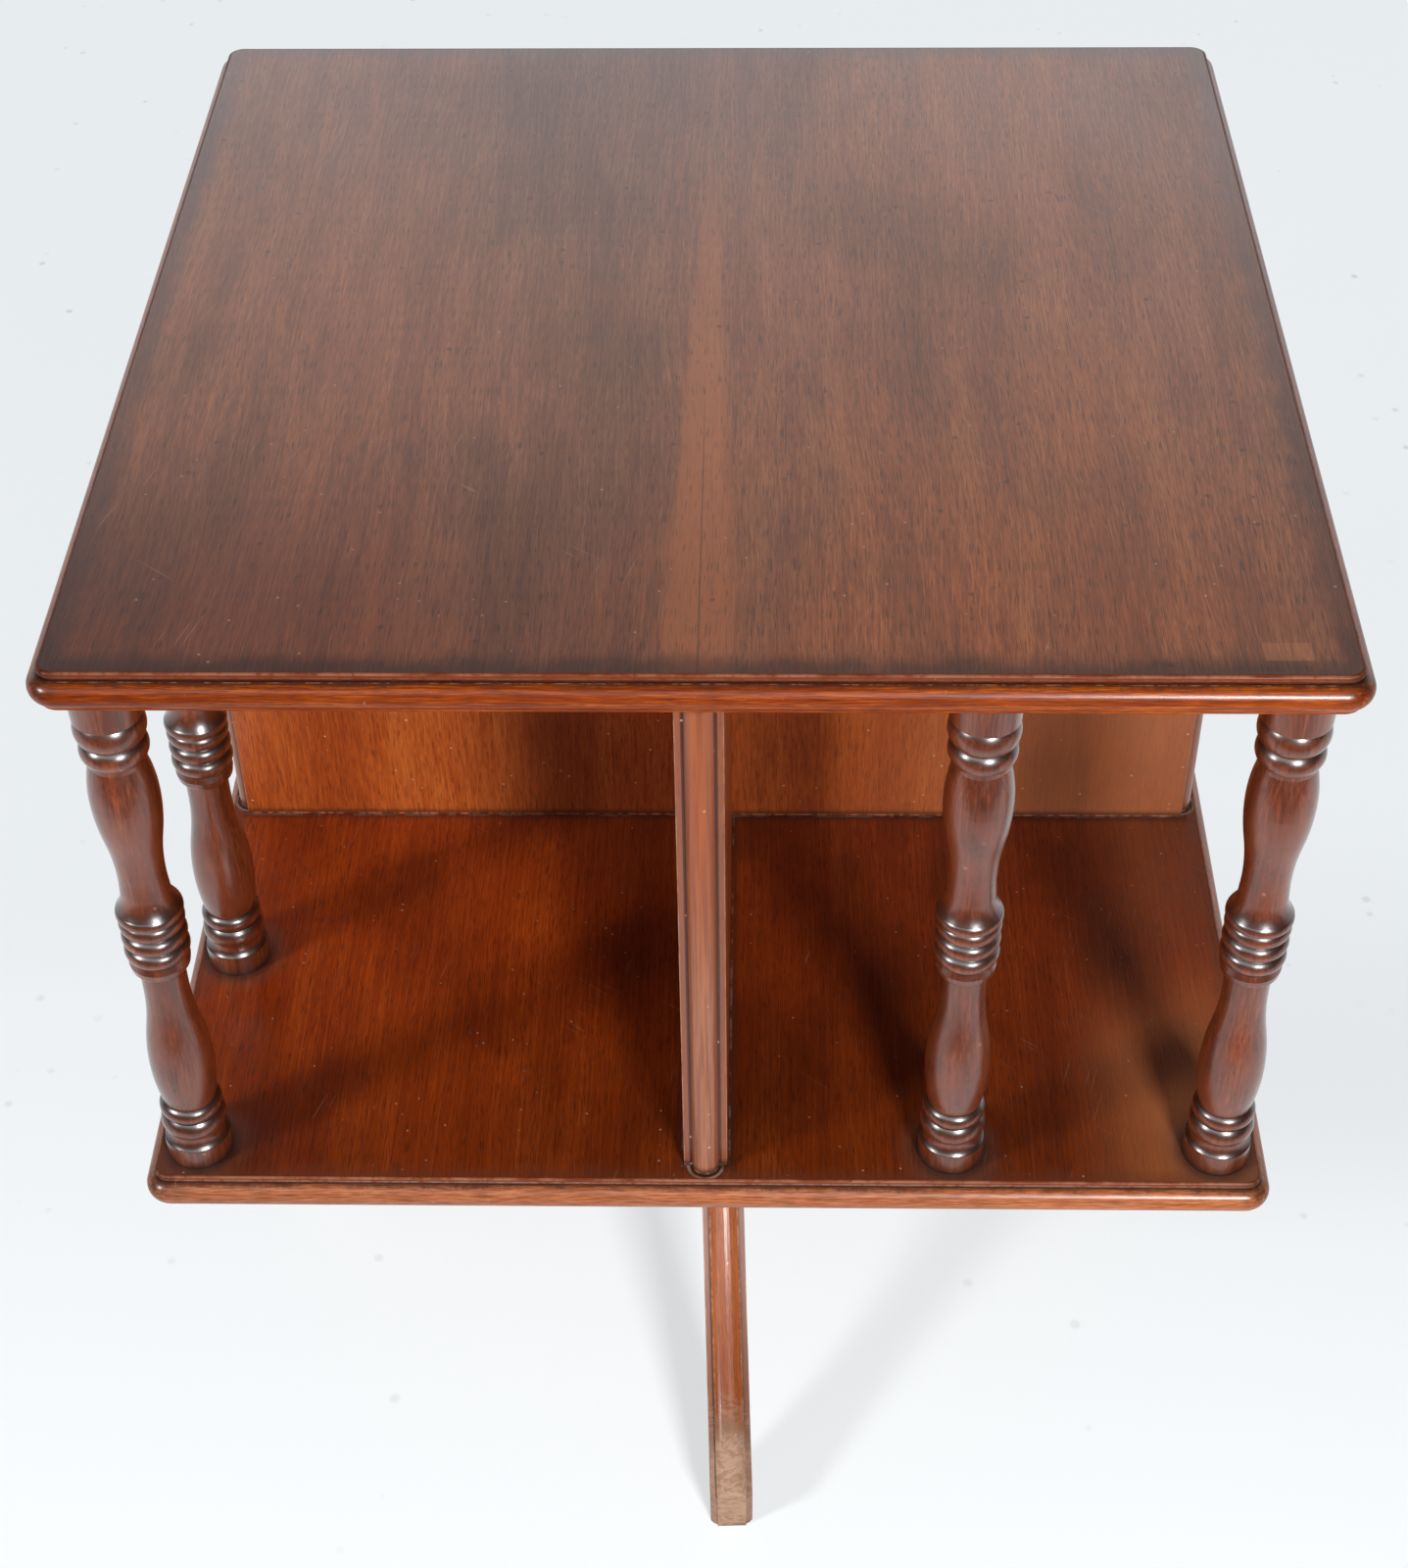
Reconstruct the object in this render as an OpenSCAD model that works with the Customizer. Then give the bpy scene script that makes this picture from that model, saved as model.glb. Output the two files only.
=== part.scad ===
// Revolving book table: a square case of two moulded boards, eight turned
// spindles and crossed dividers, turning on a pillar with four sabre legs.
// Millimetres, +Z up, origin on the floor under the middle of the pillar.

/* [Case] */
// Width and depth of the top and of the shelf, over the mouldings
case_w = 508; // [460:1:560]
// Plan radius of the corners of both boards
corner_r = 12; // [10:0.5:16]
// Height of the table top above the floor
table_h = 600; // [585:1:640]
// Thickness of the top
top_t = 17.5; // [16:0.5:22]
// Height of the shelf surface above the floor
shelf_h = 304; // [296:1:315]
// Thickness of the shelf
shelf_t = 17.5; // [16:0.5:22]

/* [Edge moulding] */
// Height of the small step above the nosing
edge_step = 3.5; // [3:0.1:5]
// How far the step stands back from the nosing
step_set = 4.6; // [4:0.1:5.2]
// Radius of the rounded arris on the step
arris_r = 1.5; // [1:0.1:2]
// Depth of the quirk cut under the step
quirk_d = 1; // [0.5:0.1:1.5]
// Height of the quirk
quirk_h = 1.3; // [0.8:0.1:1.6]
// Height of the fillet under the nosing of the top
fillet_h = 1; // [0.6:0.1:1.5]
// How far that fillet stands back from the nosing
fillet_set = 4; // [3:0.1:5]
// Width of the solid lippings round both boards
lipping_w = 20; // [18:0.5:26]

/* [Veneer] */
// Thickness of the face veneers
veneer_t = 0.9; // [0.6:0.1:1.5]
// Place of the joint between the two leaves of the top, along X
leaf_joint_x = 0; // [-20:1:20]

/* [Dividers] */
// Thickness of the divider boards
divider_t = 19.5; // [18:0.5:22]
// Distance from the case's edge to the square shoulders of a divider
shoulder_set = 13.8; // [12:0.2:18]
// Radius of the half-round bead on the ends of the dividers
bead_r = 6.2; // [5.5:0.1:7]
// How far the bead stands out from the shoulders
bead_out = 5.5; // [4.5:0.1:6]
// Thickness of the tongues that hold the dividers
tongue_t = 9; // [7:0.5:11]
// Length of the tongues, and nearly the depth of their grooves
tongue_l = 4.5; // [3:0.5:6]
// Distance from a divider's shoulder to the end of its tongue
tongue_stop = 12; // [8:1:30]

/* [Spindle layout] */
// Distance from the case's edge to the axes of the outer spindles
spindle_inset = 24; // [22:0.5:30]
// Distance of each middle spindle from the centre line of its side
middle_off = 110.5; // [90:0.5:130]
// Radius of the round tenons
tenon_r = 8; // [6:0.5:9]
// Length of the tenons
tenon_l = 12.5; // [10:0.5:13.5]

/* [Spindle turning] */
// Radius of the foot of a spindle
foot_r = 14.8; // [14:0.1:16]
// Height of the plain foot
foot_h = 11.7; // [8:0.1:14]
// Height of the hollow above the foot
hollow_h = 5.7; // [4:0.1:7]
// Height of the large bead above the hollow
low_bead_h = 10.2; // [8:0.1:12]
// Height of the small bead under the lower vase
low_small_bead_h = 8.2; // [7:0.1:10]
// Radius of the bellies of the two vases
belly_r = 14.2; // [13.5:0.1:15]
// Height of the lower belly above its beads
low_belly_rise = 24; // [20:0.5:30]
// Radius of the neck under the middle rings
neck_r = 9.7; // [9:0.1:11]
// Length of the plain neck under the middle rings
neck_h = 13; // [8:0.5:16]
// Height of the middle rings above the shelf
rings_h = 119.8; // [110:0.2:128]
// Height of the thin ring at the foot of the middle rings
thin_ring_h = 7.3; // [6:0.1:9]
// Radius of the thin ring
thin_ring_r = 12.6; // [12:0.1:13]
// Height of each middle bead
ring_bead_h = 8; // [7:0.1:9]
// Height of the bell above the middle rings
bell_h = 14.6; // [12:0.1:18]
// Radius of the waist above the bell
waist_r = 10; // [9:0.1:11]
// Height of the waist above the bell
waist_rise = 8.5; // [6:0.1:12]
// Distance from the upper belly up to the top of its vase
high_belly_drop = 19.8; // [16:0.1:24]
// Radius of the neck above the upper vase
high_neck_r = 11.6; // [11:0.1:12.5]
// Height of the neck above the upper vase
high_neck_h = 2.2; // [1.5:0.1:3]
// Height of the small bead above the upper vase
high_small_bead_h = 10; // [8:0.1:12]
// Height of the large bead under the collar
high_bead_h = 12.1; // [10:0.1:14]
// Height of the collar under the top
collar_h = 17.9; // [14:0.1:22]
// Depth of the grooves between the beads
groove_d = 2.1; // [1.6:0.1:2.6]

/* [Pillar] */
// Radius of the drum that holds the legs
drum_r = 42; // [40:0.5:48]
// Height of the drum
drum_h = 68; // [64:1:72]
// Height of the drum's lower end above the floor
drum_z = 122; // [118:1:126]
// Radius of the bead on top of the drum
drum_bead_r = 44; // [43:0.5:50]
// Radius of the pillar's neck
pillar_neck_r = 25; // [22:0.5:28]
// Radius of the pillar's ball
pillar_ball_r = 36; // [32:0.5:40]
// Radius of the pillar's head
head_r = 46; // [45:0.5:52]
// Thickness of the pillar's head
head_h = 11; // [8:0.5:14]

/* [Legs] */
// Turn of the legs against the case, as the table stands at rest
leg_turn = 2.6; // [0:0.1:45]
// Width of a leg
leg_w = 22; // [20:0.5:26]
// Reach of a toe from the centre of the pillar
leg_reach = 236.5; // [225:0.5:242]
// Distance of the heel of a foot from the centre of the pillar
heel_reach = 215; // [205:1:218]
// Distance of the knee, where the curve changes side, from the centre
knee_reach = 118; // [114:1:124]
// Height of the knee above the floor
knee_z = 134; // [130:1:138]
// Slope of the leg at the knee, in degrees
knee_slope = 48; // [46:0.5:50]
// Radius of the hollow sweep from the knee to the toe
sweep_r = 670; // [600:5:760]
// Radius of the round hip from the knee to the pillar
hip_r = 140; // [134:1:146]
// Radius of the arched underside
arch_r = 317; // [300:1:360]
// Width of the raised reed on the upper face
reed_w = 15.6; // [13:0.1:17]
// Radius of the reed's crown
reed_r = 11; // [9.5:0.1:16]
// Drop of the shoulders beside the reed
shoulder_drop = 2.4; // [1:0.1:4]
// How far the underside of a leg starts below the drum
arch_drop = 1.5; // [1:0.1:3]
// Radius of the rounded toe
toe_r = 10; // [6:0.5:14]
// Radius of the toe's corners in plan
toe_corner = 6; // [5:0.5:8]
// How far the reed stands out before the toe's corners
toe_step = 1; // [0.5:0.1:2]
// Distance from the pillar's centre to the flats that the legs bear on
leg_seat = 39; // [37:0.5:40]
// Length of the dovetail on the end of a leg
dovetail_l = 12; // [8:0.5:13]
// Width of the dovetail at its neck
dovetail_neck = 11; // [9:0.5:13]
// Width of the dovetail at its back
dovetail_back = 15; // [14:0.5:17]
// Height of the dovetail
dovetail_h = 50; // [40:1:52]

/* [Pivot] */
// Radius of the turned block under the shelf
block_r = 68; // [60:1:80]
// Thickness of the block under the shelf
block_t = 15; // [13:0.5:18]
// Radius of the flange on the pivot spindle
flange_r = 44; // [38:0.5:46]
// Thickness of the flange
flange_t = 5; // [4:0.5:6]
// Radius of the pivot spindle
pivot_r = 8; // [6:0.5:8.5]
// Thickness of the thrust ring on the pillar
thrust_t = 2.5; // [2:0.5:4]
// Outer radius of the thrust ring
thrust_r = 40; // [34:0.5:43]
// Outer radius of the bushes
bush_r = 11; // [10.5:0.5:12]
// Length of each bush in the pillar
bush_l = 22; // [16:1:26]
// Radius of the lower bush's flange and of the retaining washer
washer_r = 15; // [14:0.5:16]
// Thickness of the retaining washer
washer_t = 2.5; // [2:0.5:3]
// Width across the flats of the retaining nut
nut_af = 24; // [22:0.5:26]
// Height of the retaining nut
nut_h = 12; // [10:0.5:13]
// Depth of the pocket for the nut, from the drum's lower end
pocket_h = 22; // [20:0.5:24]
// Radius of the pocket
pocket_r = 17; // [16:0.5:18]
// Thickness of the plate under the drum
plate_t = 3; // [2:0.5:4]
// Radius of the plate under the drum
plate_r = 38; // [36:0.5:39]

/* [Screws] */
// Radius of a screw's shank
screw_r = 2.2; // [1.8:0.1:2.6]
// Radius of a screw's head
screw_head_r = 4.2; // [3.6:0.1:4.8]
// Height of the countersunk head
screw_head_h = 2.4; // [2:0.1:2.6]
// Length of the screws that hold the block
block_screw_l = 25; // [22:1:27]
// Length of the screws that hold the flange
flange_screw_l = 16; // [12:1:17]
// Length of the screws that hold the plate
plate_screw_l = 24; // [16:1:30]

/* [Fits] */
// Clearance round tenons, tongues, dovetails and screws
glue_gap = 0.05; // [0.02:0.01:0.1]
// Radial clearance of the pivot spindle in its bushes
running_gap = 0.05; // [0.02:0.01:0.1]
// End play between the lower bush and the washer
end_play = 0.3; // [0.2:0.05:0.4]

/* [Hidden] */
$fn = 96;

field_wood = "#8a4a33";
lipping_wood = "#a5553a";
divider_wood = "#7d3214";
spindle_wood = "#5a2416";
shelf_wood = "#743018";
leg_wood = "#a8663f";
core_wood = "#a07850";
steel = "#8e9194";
brass = "#b9974e";
iron = "#3c3a38";

case_half = case_w / 2;
top_z = table_h - top_t;
shelf_z = shelf_h - shelf_t;
clear_h = top_z - shelf_h;
field_set = step_set + arris_r;
core_half = case_half - lipping_w;
shoulder_x = case_half - shoulder_set;
tongue_x = shoulder_x - tongue_stop;
spindle_x = case_half - spindle_inset;

block_z = shelf_z - block_t;
flange_z = block_z - flange_t;
pillar_top = flange_z - thrust_t;
lower_bush_z = drum_z + pocket_h;
// Thickness of the lower bush's flange
bush_flange_t = 2.5;
// Gap between the pivot spindle and the thrust ring
thrust_clear = 4;
// Width of the ledges in the pillar's bore that the bushes stand against
bush_ledge = 1;
washer_z = lower_bush_z - bush_flange_t - end_play - washer_t;
nut_z = washer_z - nut_h;
// The pivot spindle stands 2 mm out of the nut
pivot_end_z = nut_z - 2;
block_screw_pcr = (block_r + flange_r) / 2 + 2;
flange_screw_pcr = (flange_r + bush_r) / 2 + 4;
plate_screw_pcr = (pocket_r + plate_r) / 2;
pilot_r = screw_r + glue_gap;

drum_top = drum_z + drum_h;
knee_out = [sin(knee_slope), cos(knee_slope)];
knee = [knee_reach, knee_z];
sweep_c = knee + sweep_r * knee_out;
hip_c = knee - hip_r * knee_out;
arch_c = arc_centre([leg_seat, drum_z - arch_drop], [heel_reach, 0], -arch_r);
reed_sag = reed_r - sqrt(reed_r * reed_r - reed_w * reed_w / 4);
toe_slope = asin((sweep_c[0] - leg_reach) / sweep_r);
toe_x = leg_reach - toe_r;
// How far the toe's round stands up through the reed, so that the two cross cleanly
toe_lift = 0.5;
toe_c = [
    toe_x,
    sweep_c[1] - sqrt(pow(sweep_r + toe_r, 2) - pow(sweep_c[0] - toe_x, 2)) + toe_lift
];
toe_touch = toe_c + toe_r * (sweep_c - toe_c) / norm(sweep_c - toe_c);
leg_depth = 62;
// Degrees that the sweep runs on past the toe
toe_past = 2;
// How far the cuts beside the toe go into the reed's flanks
reed_trim = 0.3;
// Share of a corner's radius that lies between its centre and the leg's side
corner_share = 0.87;
// How far the quirk sinks below the foot of the step
quirk_sink = 0.3;
// Slope at which the hip runs out inside the pillar
hip_end_slope = 3;
// Clearance of the flats that are cut in the drum for the legs
seat_gap = 0.1;
// How far a cut runs on past a face
over = 1;

// Centre of the arc from p up to q; a positive bend bulges away from the axis
function arc_centre(p, q, bend) =
    let (
        chord = q - p,
        half = norm(chord) / 2,
        side = [chord[1], -chord[0]] / norm(chord),
        back = sqrt(bend * bend - half * half)
    )
    (p + q) / 2 - side * back * sign(bend);

// Radius of an arc that rises h while it leaves its tangent by d
function arc_r(h, d) = (h * h + d * d) / (2 * d);

// One stretch of a turned outline, from the axis out to the arc or line p to q.
// The chord keeps clear of an arc's ends, so that the arc alone shapes them.
module turned_band(p, q, bend) {
    clear = 0.1 * sign(bend);
    module under_chord() {
        polygon([[0, p[1]], [p[0] - clear, p[1]], [q[0] - clear, q[1]], [0, q[1]]]);
    }
    if (bend == 0) {
        under_chord();
    }
    if (bend > 0) {
        under_chord();
        intersection() {
            translate(arc_centre(p, q, bend)) circle(r = bend, $fn = 180);
            translate([0, p[1]]) square([bend + 2 * q[0], q[1] - p[1]]);
        }
    }
    if (bend < 0) {
        difference() {
            under_chord();
            translate(arc_centre(p, q, bend)) circle(r = -bend, $fn = 180);
        }
    }
}

// A turned solid from its stations, each [radius, height, bend to the next]
module turned(stations) {
    for (i = [0 : len(stations) - 2]) {
        p = stations[i];
        q = stations[i + 1];
        if (q[1] > p[1]) {
            rotate_extrude() turned_band([p[0], p[1]], [q[0], q[1]], p[2]);
        }
    }
}

// Section of a lipping: x outward from its inner edge, y up from its underside
module edge_section(t, fillet) {
    nosing_r = (t - edge_step - fillet) / 2;
    step_x = lipping_w - step_set;
    quirk_y = t - edge_step - quirk_sink;
    difference() {
        union() {
            square([lipping_w - nosing_r, t - edge_step]);
            translate([lipping_w - nosing_r, fillet + nosing_r]) circle(r = nosing_r);
            if (fillet > 0) {
                square([lipping_w - fillet_set, fillet + nosing_r]);
            }
            square([step_x, t - arris_r]);
            square([step_x - arris_r, t]);
            translate([step_x - arris_r, t - arris_r]) circle(r = arris_r);
        }
        translate([step_x - quirk_d, quirk_y]) square([lipping_w, quirk_h]);
        translate([-over, t - veneer_t]) square([step_x - arris_r + over, veneer_t + over]);
    }
}

// One lipping, mitred at both ends, along the right-hand side
module lipping(t, fillet) {
    end_y = case_half - corner_r;
    mitre = lipping_w - corner_r;
    difference() {
        translate([core_half, 0, 0]) rotate([90, 0, 0])
            linear_extrude(height = 2 * end_y, center = true) edge_section(t, fillet);
        for (s = [-1, 1]) {
            translate([core_half, s * end_y, -over]) linear_extrude(height = t + 2 * over)
                polygon([[0, 0], [mitre, 0], [0, -s * mitre]]);
        }
    }
    for (flip = [0, 1]) {
        mirror([0, flip, 0]) translate([case_half - corner_r, end_y, 0])
            rotate_extrude(angle = 45) intersection() {
                translate([-mitre, 0]) edge_section(t, fillet);
                square([corner_r + over, t + over]);
            }
    }
}

// The spindles' sockets run across the joint between a board and its lippings
module top_edge(turn) {
    color(lipping_wood) difference() {
        translate([0, 0, top_z]) rotate([0, 0, turn]) lipping(top_t, fillet_h);
        translate([0, 0, top_z]) socket_cuts(tenon_l + glue_gap);
    }
}

module shelf_edge(turn) {
    color(lipping_wood) difference() {
        translate([0, 0, shelf_z]) rotate([0, 0, turn]) lipping(shelf_t, 0);
        translate([0, 0, shelf_h]) socket_cuts(tenon_l + glue_gap);
    }
}

// The flat field inside the moulding, in plan
module field_plan() {
    half = case_half - field_set - glue_gap;
    r = corner_r - field_set;
    square([2 * half, 2 * (half - r)], center = true);
    square([2 * (half - r), 2 * half], center = true);
    for (x = [-1, 1], y = [-1, 1]) {
        translate([x * (half - r), y * (half - r)]) circle(r = r);
    }
}

// Places of the eight spindles
function spindle_corner(k) = [[-1, -1], [1, -1], [1, 1], [-1, 1]][k] * spindle_x;
function spindle_middle(k) =
    [[middle_off, -spindle_x], [spindle_x, middle_off],
     [-middle_off, spindle_x], [-spindle_x, -middle_off]][k];

module spindle_places() {
    for (k = [0 : 3]) {
        translate(spindle_corner(k)) children();
        translate(spindle_middle(k)) children();
    }
}

// Crossed grooves for the dividers' tongues, cut both ways from z = 0
module joint_cuts(depth) {
    groove_t = tongue_t + 2 * glue_gap;
    groove_x = tongue_x + glue_gap;
    cube([2 * groove_x, groove_t, 2 * depth], center = true);
    cube([groove_t, 2 * groove_x, 2 * depth], center = true);
}

// Sockets for the spindles' tenons, cut both ways from z = 0
module socket_cuts(depth) {
    spindle_places() cylinder(r = tenon_r + glue_gap, h = 2 * depth, center = true);
}

module top_panel() {
    color(core_wood) difference() {
        translate([-core_half, -core_half, top_z])
            cube([2 * core_half, 2 * core_half, top_t - veneer_t]);
        translate([0, 0, top_z]) joint_cuts(tongue_l + glue_gap);
        translate([0, 0, top_z]) socket_cuts(tenon_l + glue_gap);
    }
}

module top_veneer(side) {
    leaf_w = case_w;
    color(field_wood) translate([0, 0, table_h - veneer_t])
        linear_extrude(height = veneer_t) intersection() {
            field_plan();
            translate([side > 0 ? leaf_joint_x : leaf_joint_x - leaf_w, -case_half])
                square([leaf_w, case_w]);
        }
}

module shelf_panel() {
    color(core_wood) difference() {
        translate([-core_half, -core_half, shelf_z])
            cube([2 * core_half, 2 * core_half, shelf_t - veneer_t]);
        translate([0, 0, shelf_h]) joint_cuts(tongue_l + glue_gap);
        translate([0, 0, shelf_h]) socket_cuts(tenon_l + glue_gap);
        block_screw_places(shelf_z - over, block_screw_l - block_t + over + glue_gap);
    }
}

module shelf_veneer() {
    color(shelf_wood) difference() {
        translate([0, 0, shelf_h - veneer_t]) linear_extrude(height = veneer_t) field_plan();
        translate([0, 0, shelf_h]) joint_cuts(tongue_l + glue_gap);
        translate([0, 0, shelf_h]) socket_cuts(tenon_l + glue_gap);
    }
}

// Plan of a divider from x0 out to its beaded end on the +X side
module divider_plan(x0) {
    translate([x0, -divider_t / 2]) square([shoulder_x - x0, divider_t]);
    translate([shoulder_x + bead_out - bead_r, 0]) circle(r = bead_r);
}

// Tongues along the top and bottom edges of a divider, from x0 to x1
module divider_tongues(x0, x1) {
    translate([x0, -tongue_t / 2, shelf_h - tongue_l])
        cube([x1 - x0, tongue_t, clear_h + 2 * tongue_l]);
}

module cross_divider() {
    color(divider_wood) difference() {
        union() {
            translate([0, 0, shelf_h]) linear_extrude(height = clear_h) union() {
                divider_plan(0);
                mirror([1, 0]) divider_plan(0);
            }
            divider_tongues(-tongue_x, tongue_x);
        }
        for (s = [-1, 1]) {
            translate([0, s * divider_t / 2, shelf_h + clear_h / 2])
                cube([tongue_t + 2 * glue_gap, 2 * (tongue_l + glue_gap), clear_h + 4 * tongue_l],
                     center = true);
        }
    }
}

// A half divider that runs out along +X from the cross divider
module half_divider() {
    butt = divider_t / 2;
    color(divider_wood) {
        translate([0, 0, shelf_h]) linear_extrude(height = clear_h) divider_plan(butt);
        divider_tongues(butt - tongue_l, tongue_x);
    }
}

module front_divider() {
    rotate([0, 0, -90]) half_divider();
}

module back_divider() {
    rotate([0, 0, 90]) half_divider();
}

// Radius of the half-round of a bead from its height and how far it stands out
function bead_bend(h, rise) = arc_r(h / 2, rise);

// Turned outline of a spindle, with the shelf at height zero
function spindle_stations() =
    let (
        hollow_top = foot_h + hollow_h,
        low_bead_top = hollow_top + low_bead_h,
        low_top = low_bead_top + low_small_bead_h,
        crown_drop = 0.2,
        groove_r = foot_r - crown_drop - groove_d,
        small_r = foot_r - 0.8,
        small_groove_r = small_r - groove_d,
        low_foot_r = small_groove_r - crown_drop,
        hollow_lip = 0.3,
        hollow_r = 7,
        low_belly = low_top + low_belly_rise,
        neck_top = rings_h - neck_h,
        low_mid = (low_belly + neck_top) / 2,
        low_mid_r = (belly_r + neck_r) / 2,
        ring_0 = rings_h + thin_ring_h,
        ring_3 = ring_0 + 3 * ring_bead_h,
        ring_edge_h = 1.2,
        ring_edge_in = 0.8,
        ring_flare = 0.5,
        ring_cove_h = 3,
        cove_foot = 0.3,
        bell_roll_h = 4.5,
        bell_roll_r = 4,
        bell_foot_r = belly_r - 0.4,
        bell_lip_r = belly_r - 0.9,
        bell_hollow_r = 17,
        waist_lip = 0.35,
        bell_lip = ring_3 + bell_roll_h,
        bell_top = ring_3 + bell_h,
        waist = bell_top + waist_rise,
        collar_z = clear_h - collar_h,
        collar_taper = 0.6,
        high_bead = collar_z - high_bead_h,
        high_small_bead = high_bead - high_small_bead_h,
        vase_top = high_small_bead - high_neck_h,
        high_belly = vase_top - high_belly_drop,
        high_mid = (waist + high_belly) / 2,
        high_mid_r = (belly_r + waist_r) / 2
    )
    [
        [tenon_r, -tenon_l, 0],
        [tenon_r, 0, 0],
        [foot_r, 0, 0],
        [foot_r, foot_h, 0],
        [foot_r - hollow_lip, foot_h, -hollow_r],
        [groove_r, hollow_top, bead_bend(low_bead_h, groove_d)],
        [groove_r, low_bead_top, 0],
        [small_groove_r, low_bead_top, bead_bend(low_small_bead_h, groove_d)],
        [small_groove_r, low_top, 0],
        [low_foot_r, low_top, arc_r(low_belly_rise, belly_r - low_foot_r)],
        [belly_r, low_belly, arc_r(low_mid - low_belly, belly_r - low_mid_r)],
        [low_mid_r, low_mid, -arc_r(neck_top - low_mid, low_mid_r - neck_r)],
        [neck_r, neck_top, 0],
        [neck_r, rings_h - ring_edge_h, 0],
        [thin_ring_r - ring_edge_in, rings_h, 0],
        [thin_ring_r, rings_h + ring_edge_h, 0],
        [thin_ring_r + ring_flare, ring_0 - ring_cove_h, 0],
        [small_groove_r + cove_foot, ring_0, 0],
        [small_groove_r, ring_0, bead_bend(ring_bead_h, groove_d)],
        [small_groove_r, ring_0 + ring_bead_h, bead_bend(ring_bead_h, groove_d)],
        [small_groove_r, ring_0 + 2 * ring_bead_h, bead_bend(ring_bead_h, groove_d)],
        [small_groove_r, ring_3, 0],
        [bell_foot_r, ring_3, bell_roll_r],
        [bell_lip_r, bell_lip, -bell_hollow_r],
        [waist_r + waist_lip, bell_top, -arc_r(waist_rise, waist_lip)],
        [waist_r, waist, -arc_r(high_mid - waist, high_mid_r - waist_r)],
        [high_mid_r, high_mid, arc_r(high_belly - high_mid, belly_r - high_mid_r)],
        [belly_r, high_belly, arc_r(high_belly_drop, belly_r - high_neck_r)],
        [high_neck_r, vase_top, 0],
        [high_neck_r, high_small_bead, 0],
        [small_groove_r, high_small_bead, bead_bend(high_small_bead_h, groove_d)],
        [small_groove_r, high_bead, 0],
        [groove_r, high_bead, bead_bend(high_bead_h, groove_d)],
        [groove_r, collar_z, 0],
        [foot_r - collar_taper, collar_z, 0],
        [foot_r, clear_h, 0],
        [tenon_r, clear_h, 0],
        [tenon_r, clear_h + tenon_l, 0]
    ];

module spindle(place) {
    color(spindle_wood) translate([place[0], place[1], shelf_h]) turned(spindle_stations());
}

// Countersunk screws, heads down at z, spaced round a circle
module screw(l) {
    cylinder(r1 = screw_head_r, r2 = screw_r, h = screw_head_h);
    cylinder(r = screw_r, h = l);
}

module screw_ring(z, pcr, first) {
    for (k = [0 : 3]) {
        rotate([0, 0, first + 90 * k]) translate([pcr, 0, z]) children();
    }
}

module screw_hole(l) {
    gap = glue_gap;
    translate([0, 0, -over]) cylinder(r = screw_head_r + gap, h = over);
    cylinder(r1 = screw_head_r + gap, r2 = screw_r + gap, h = screw_head_h);
    cylinder(r = screw_r + gap, h = l + gap);
}

module block_screw_places(z, l) {
    screw_ring(z, block_screw_pcr, 45) cylinder(r = pilot_r, h = l);
}

module turning_block() {
    lip = 4;
    lip_h = 5;
    color(core_wood) difference() {
        translate([0, 0, block_z]) turned([
            [block_r - lip, 0, arc_r(lip_h, lip)],
            [block_r, lip_h, 0],
            [block_r, block_t, 0]
        ]);
        screw_ring(block_z, block_screw_pcr, 45) screw_hole(block_screw_l);
        screw_ring(block_z - over, flange_screw_pcr, 0)
            cylinder(r = pilot_r, h = flange_screw_l - flange_t + over + glue_gap);
    }
}

module block_screws() {
    color(steel) screw_ring(block_z, block_screw_pcr, 45) screw(block_screw_l);
}

module pivot_spindle() {
    color(steel) difference() {
        union() {
            translate([0, 0, flange_z]) cylinder(r = flange_r, h = flange_t);
            translate([0, 0, pivot_end_z + over]) cylinder(r = pivot_r, h = flange_z - pivot_end_z);
            translate([0, 0, pivot_end_z]) cylinder(r1 = pivot_r - over, r2 = pivot_r, h = over);
        }
        screw_ring(flange_z, flange_screw_pcr, 0) screw_hole(flange_screw_l);
    }
}

module flange_screws() {
    color(steel) screw_ring(flange_z, flange_screw_pcr, 0) screw(flange_screw_l);
}

module ring(r_out, r_in, h) {
    difference() {
        cylinder(r = r_out, h = h);
        translate([0, 0, -over]) cylinder(r = r_in, h = h + 2 * over);
    }
}

module retaining_washer() {
    color(steel) translate([0, 0, washer_z]) ring(washer_r, pivot_r + glue_gap, washer_t);
}

module retaining_nut() {
    across_corners = nut_af / cos(30);
    color(steel) translate([0, 0, nut_z]) difference() {
        cylinder(r = across_corners / 2, h = nut_h, $fn = 6);
        translate([0, 0, -over]) cylinder(r = pivot_r + glue_gap, h = nut_h + 2 * over);
    }
}

module thrust_ring() {
    color(brass) translate([0, 0, pillar_top]) ring(thrust_r, pivot_r + thrust_clear, thrust_t);
}

module upper_bush() {
    color(brass) translate([0, 0, pillar_top - bush_l]) ring(bush_r, pivot_r + running_gap, bush_l);
}

module lower_bush() {
    color(brass) difference() {
        union() {
            translate([0, 0, lower_bush_z - bush_flange_t]) cylinder(r = washer_r, h = bush_flange_t);
            translate([0, 0, lower_bush_z]) cylinder(r = bush_r, h = bush_l);
        }
        translate([0, 0, drum_z]) cylinder(r = pivot_r + running_gap, h = pillar_top - drum_z);
    }
}

module dovetail_plate() {
    color(iron) difference() {
        translate([0, 0, drum_z - plate_t]) ring(plate_r, pocket_r, plate_t);
        screw_ring(drum_z - plate_t, plate_screw_pcr, leg_turn + 45) screw_hole(plate_screw_l);
    }
}

module plate_screws() {
    color(iron) screw_ring(drum_z - plate_t, plate_screw_pcr, leg_turn + 45) screw(plate_screw_l);
}

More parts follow.
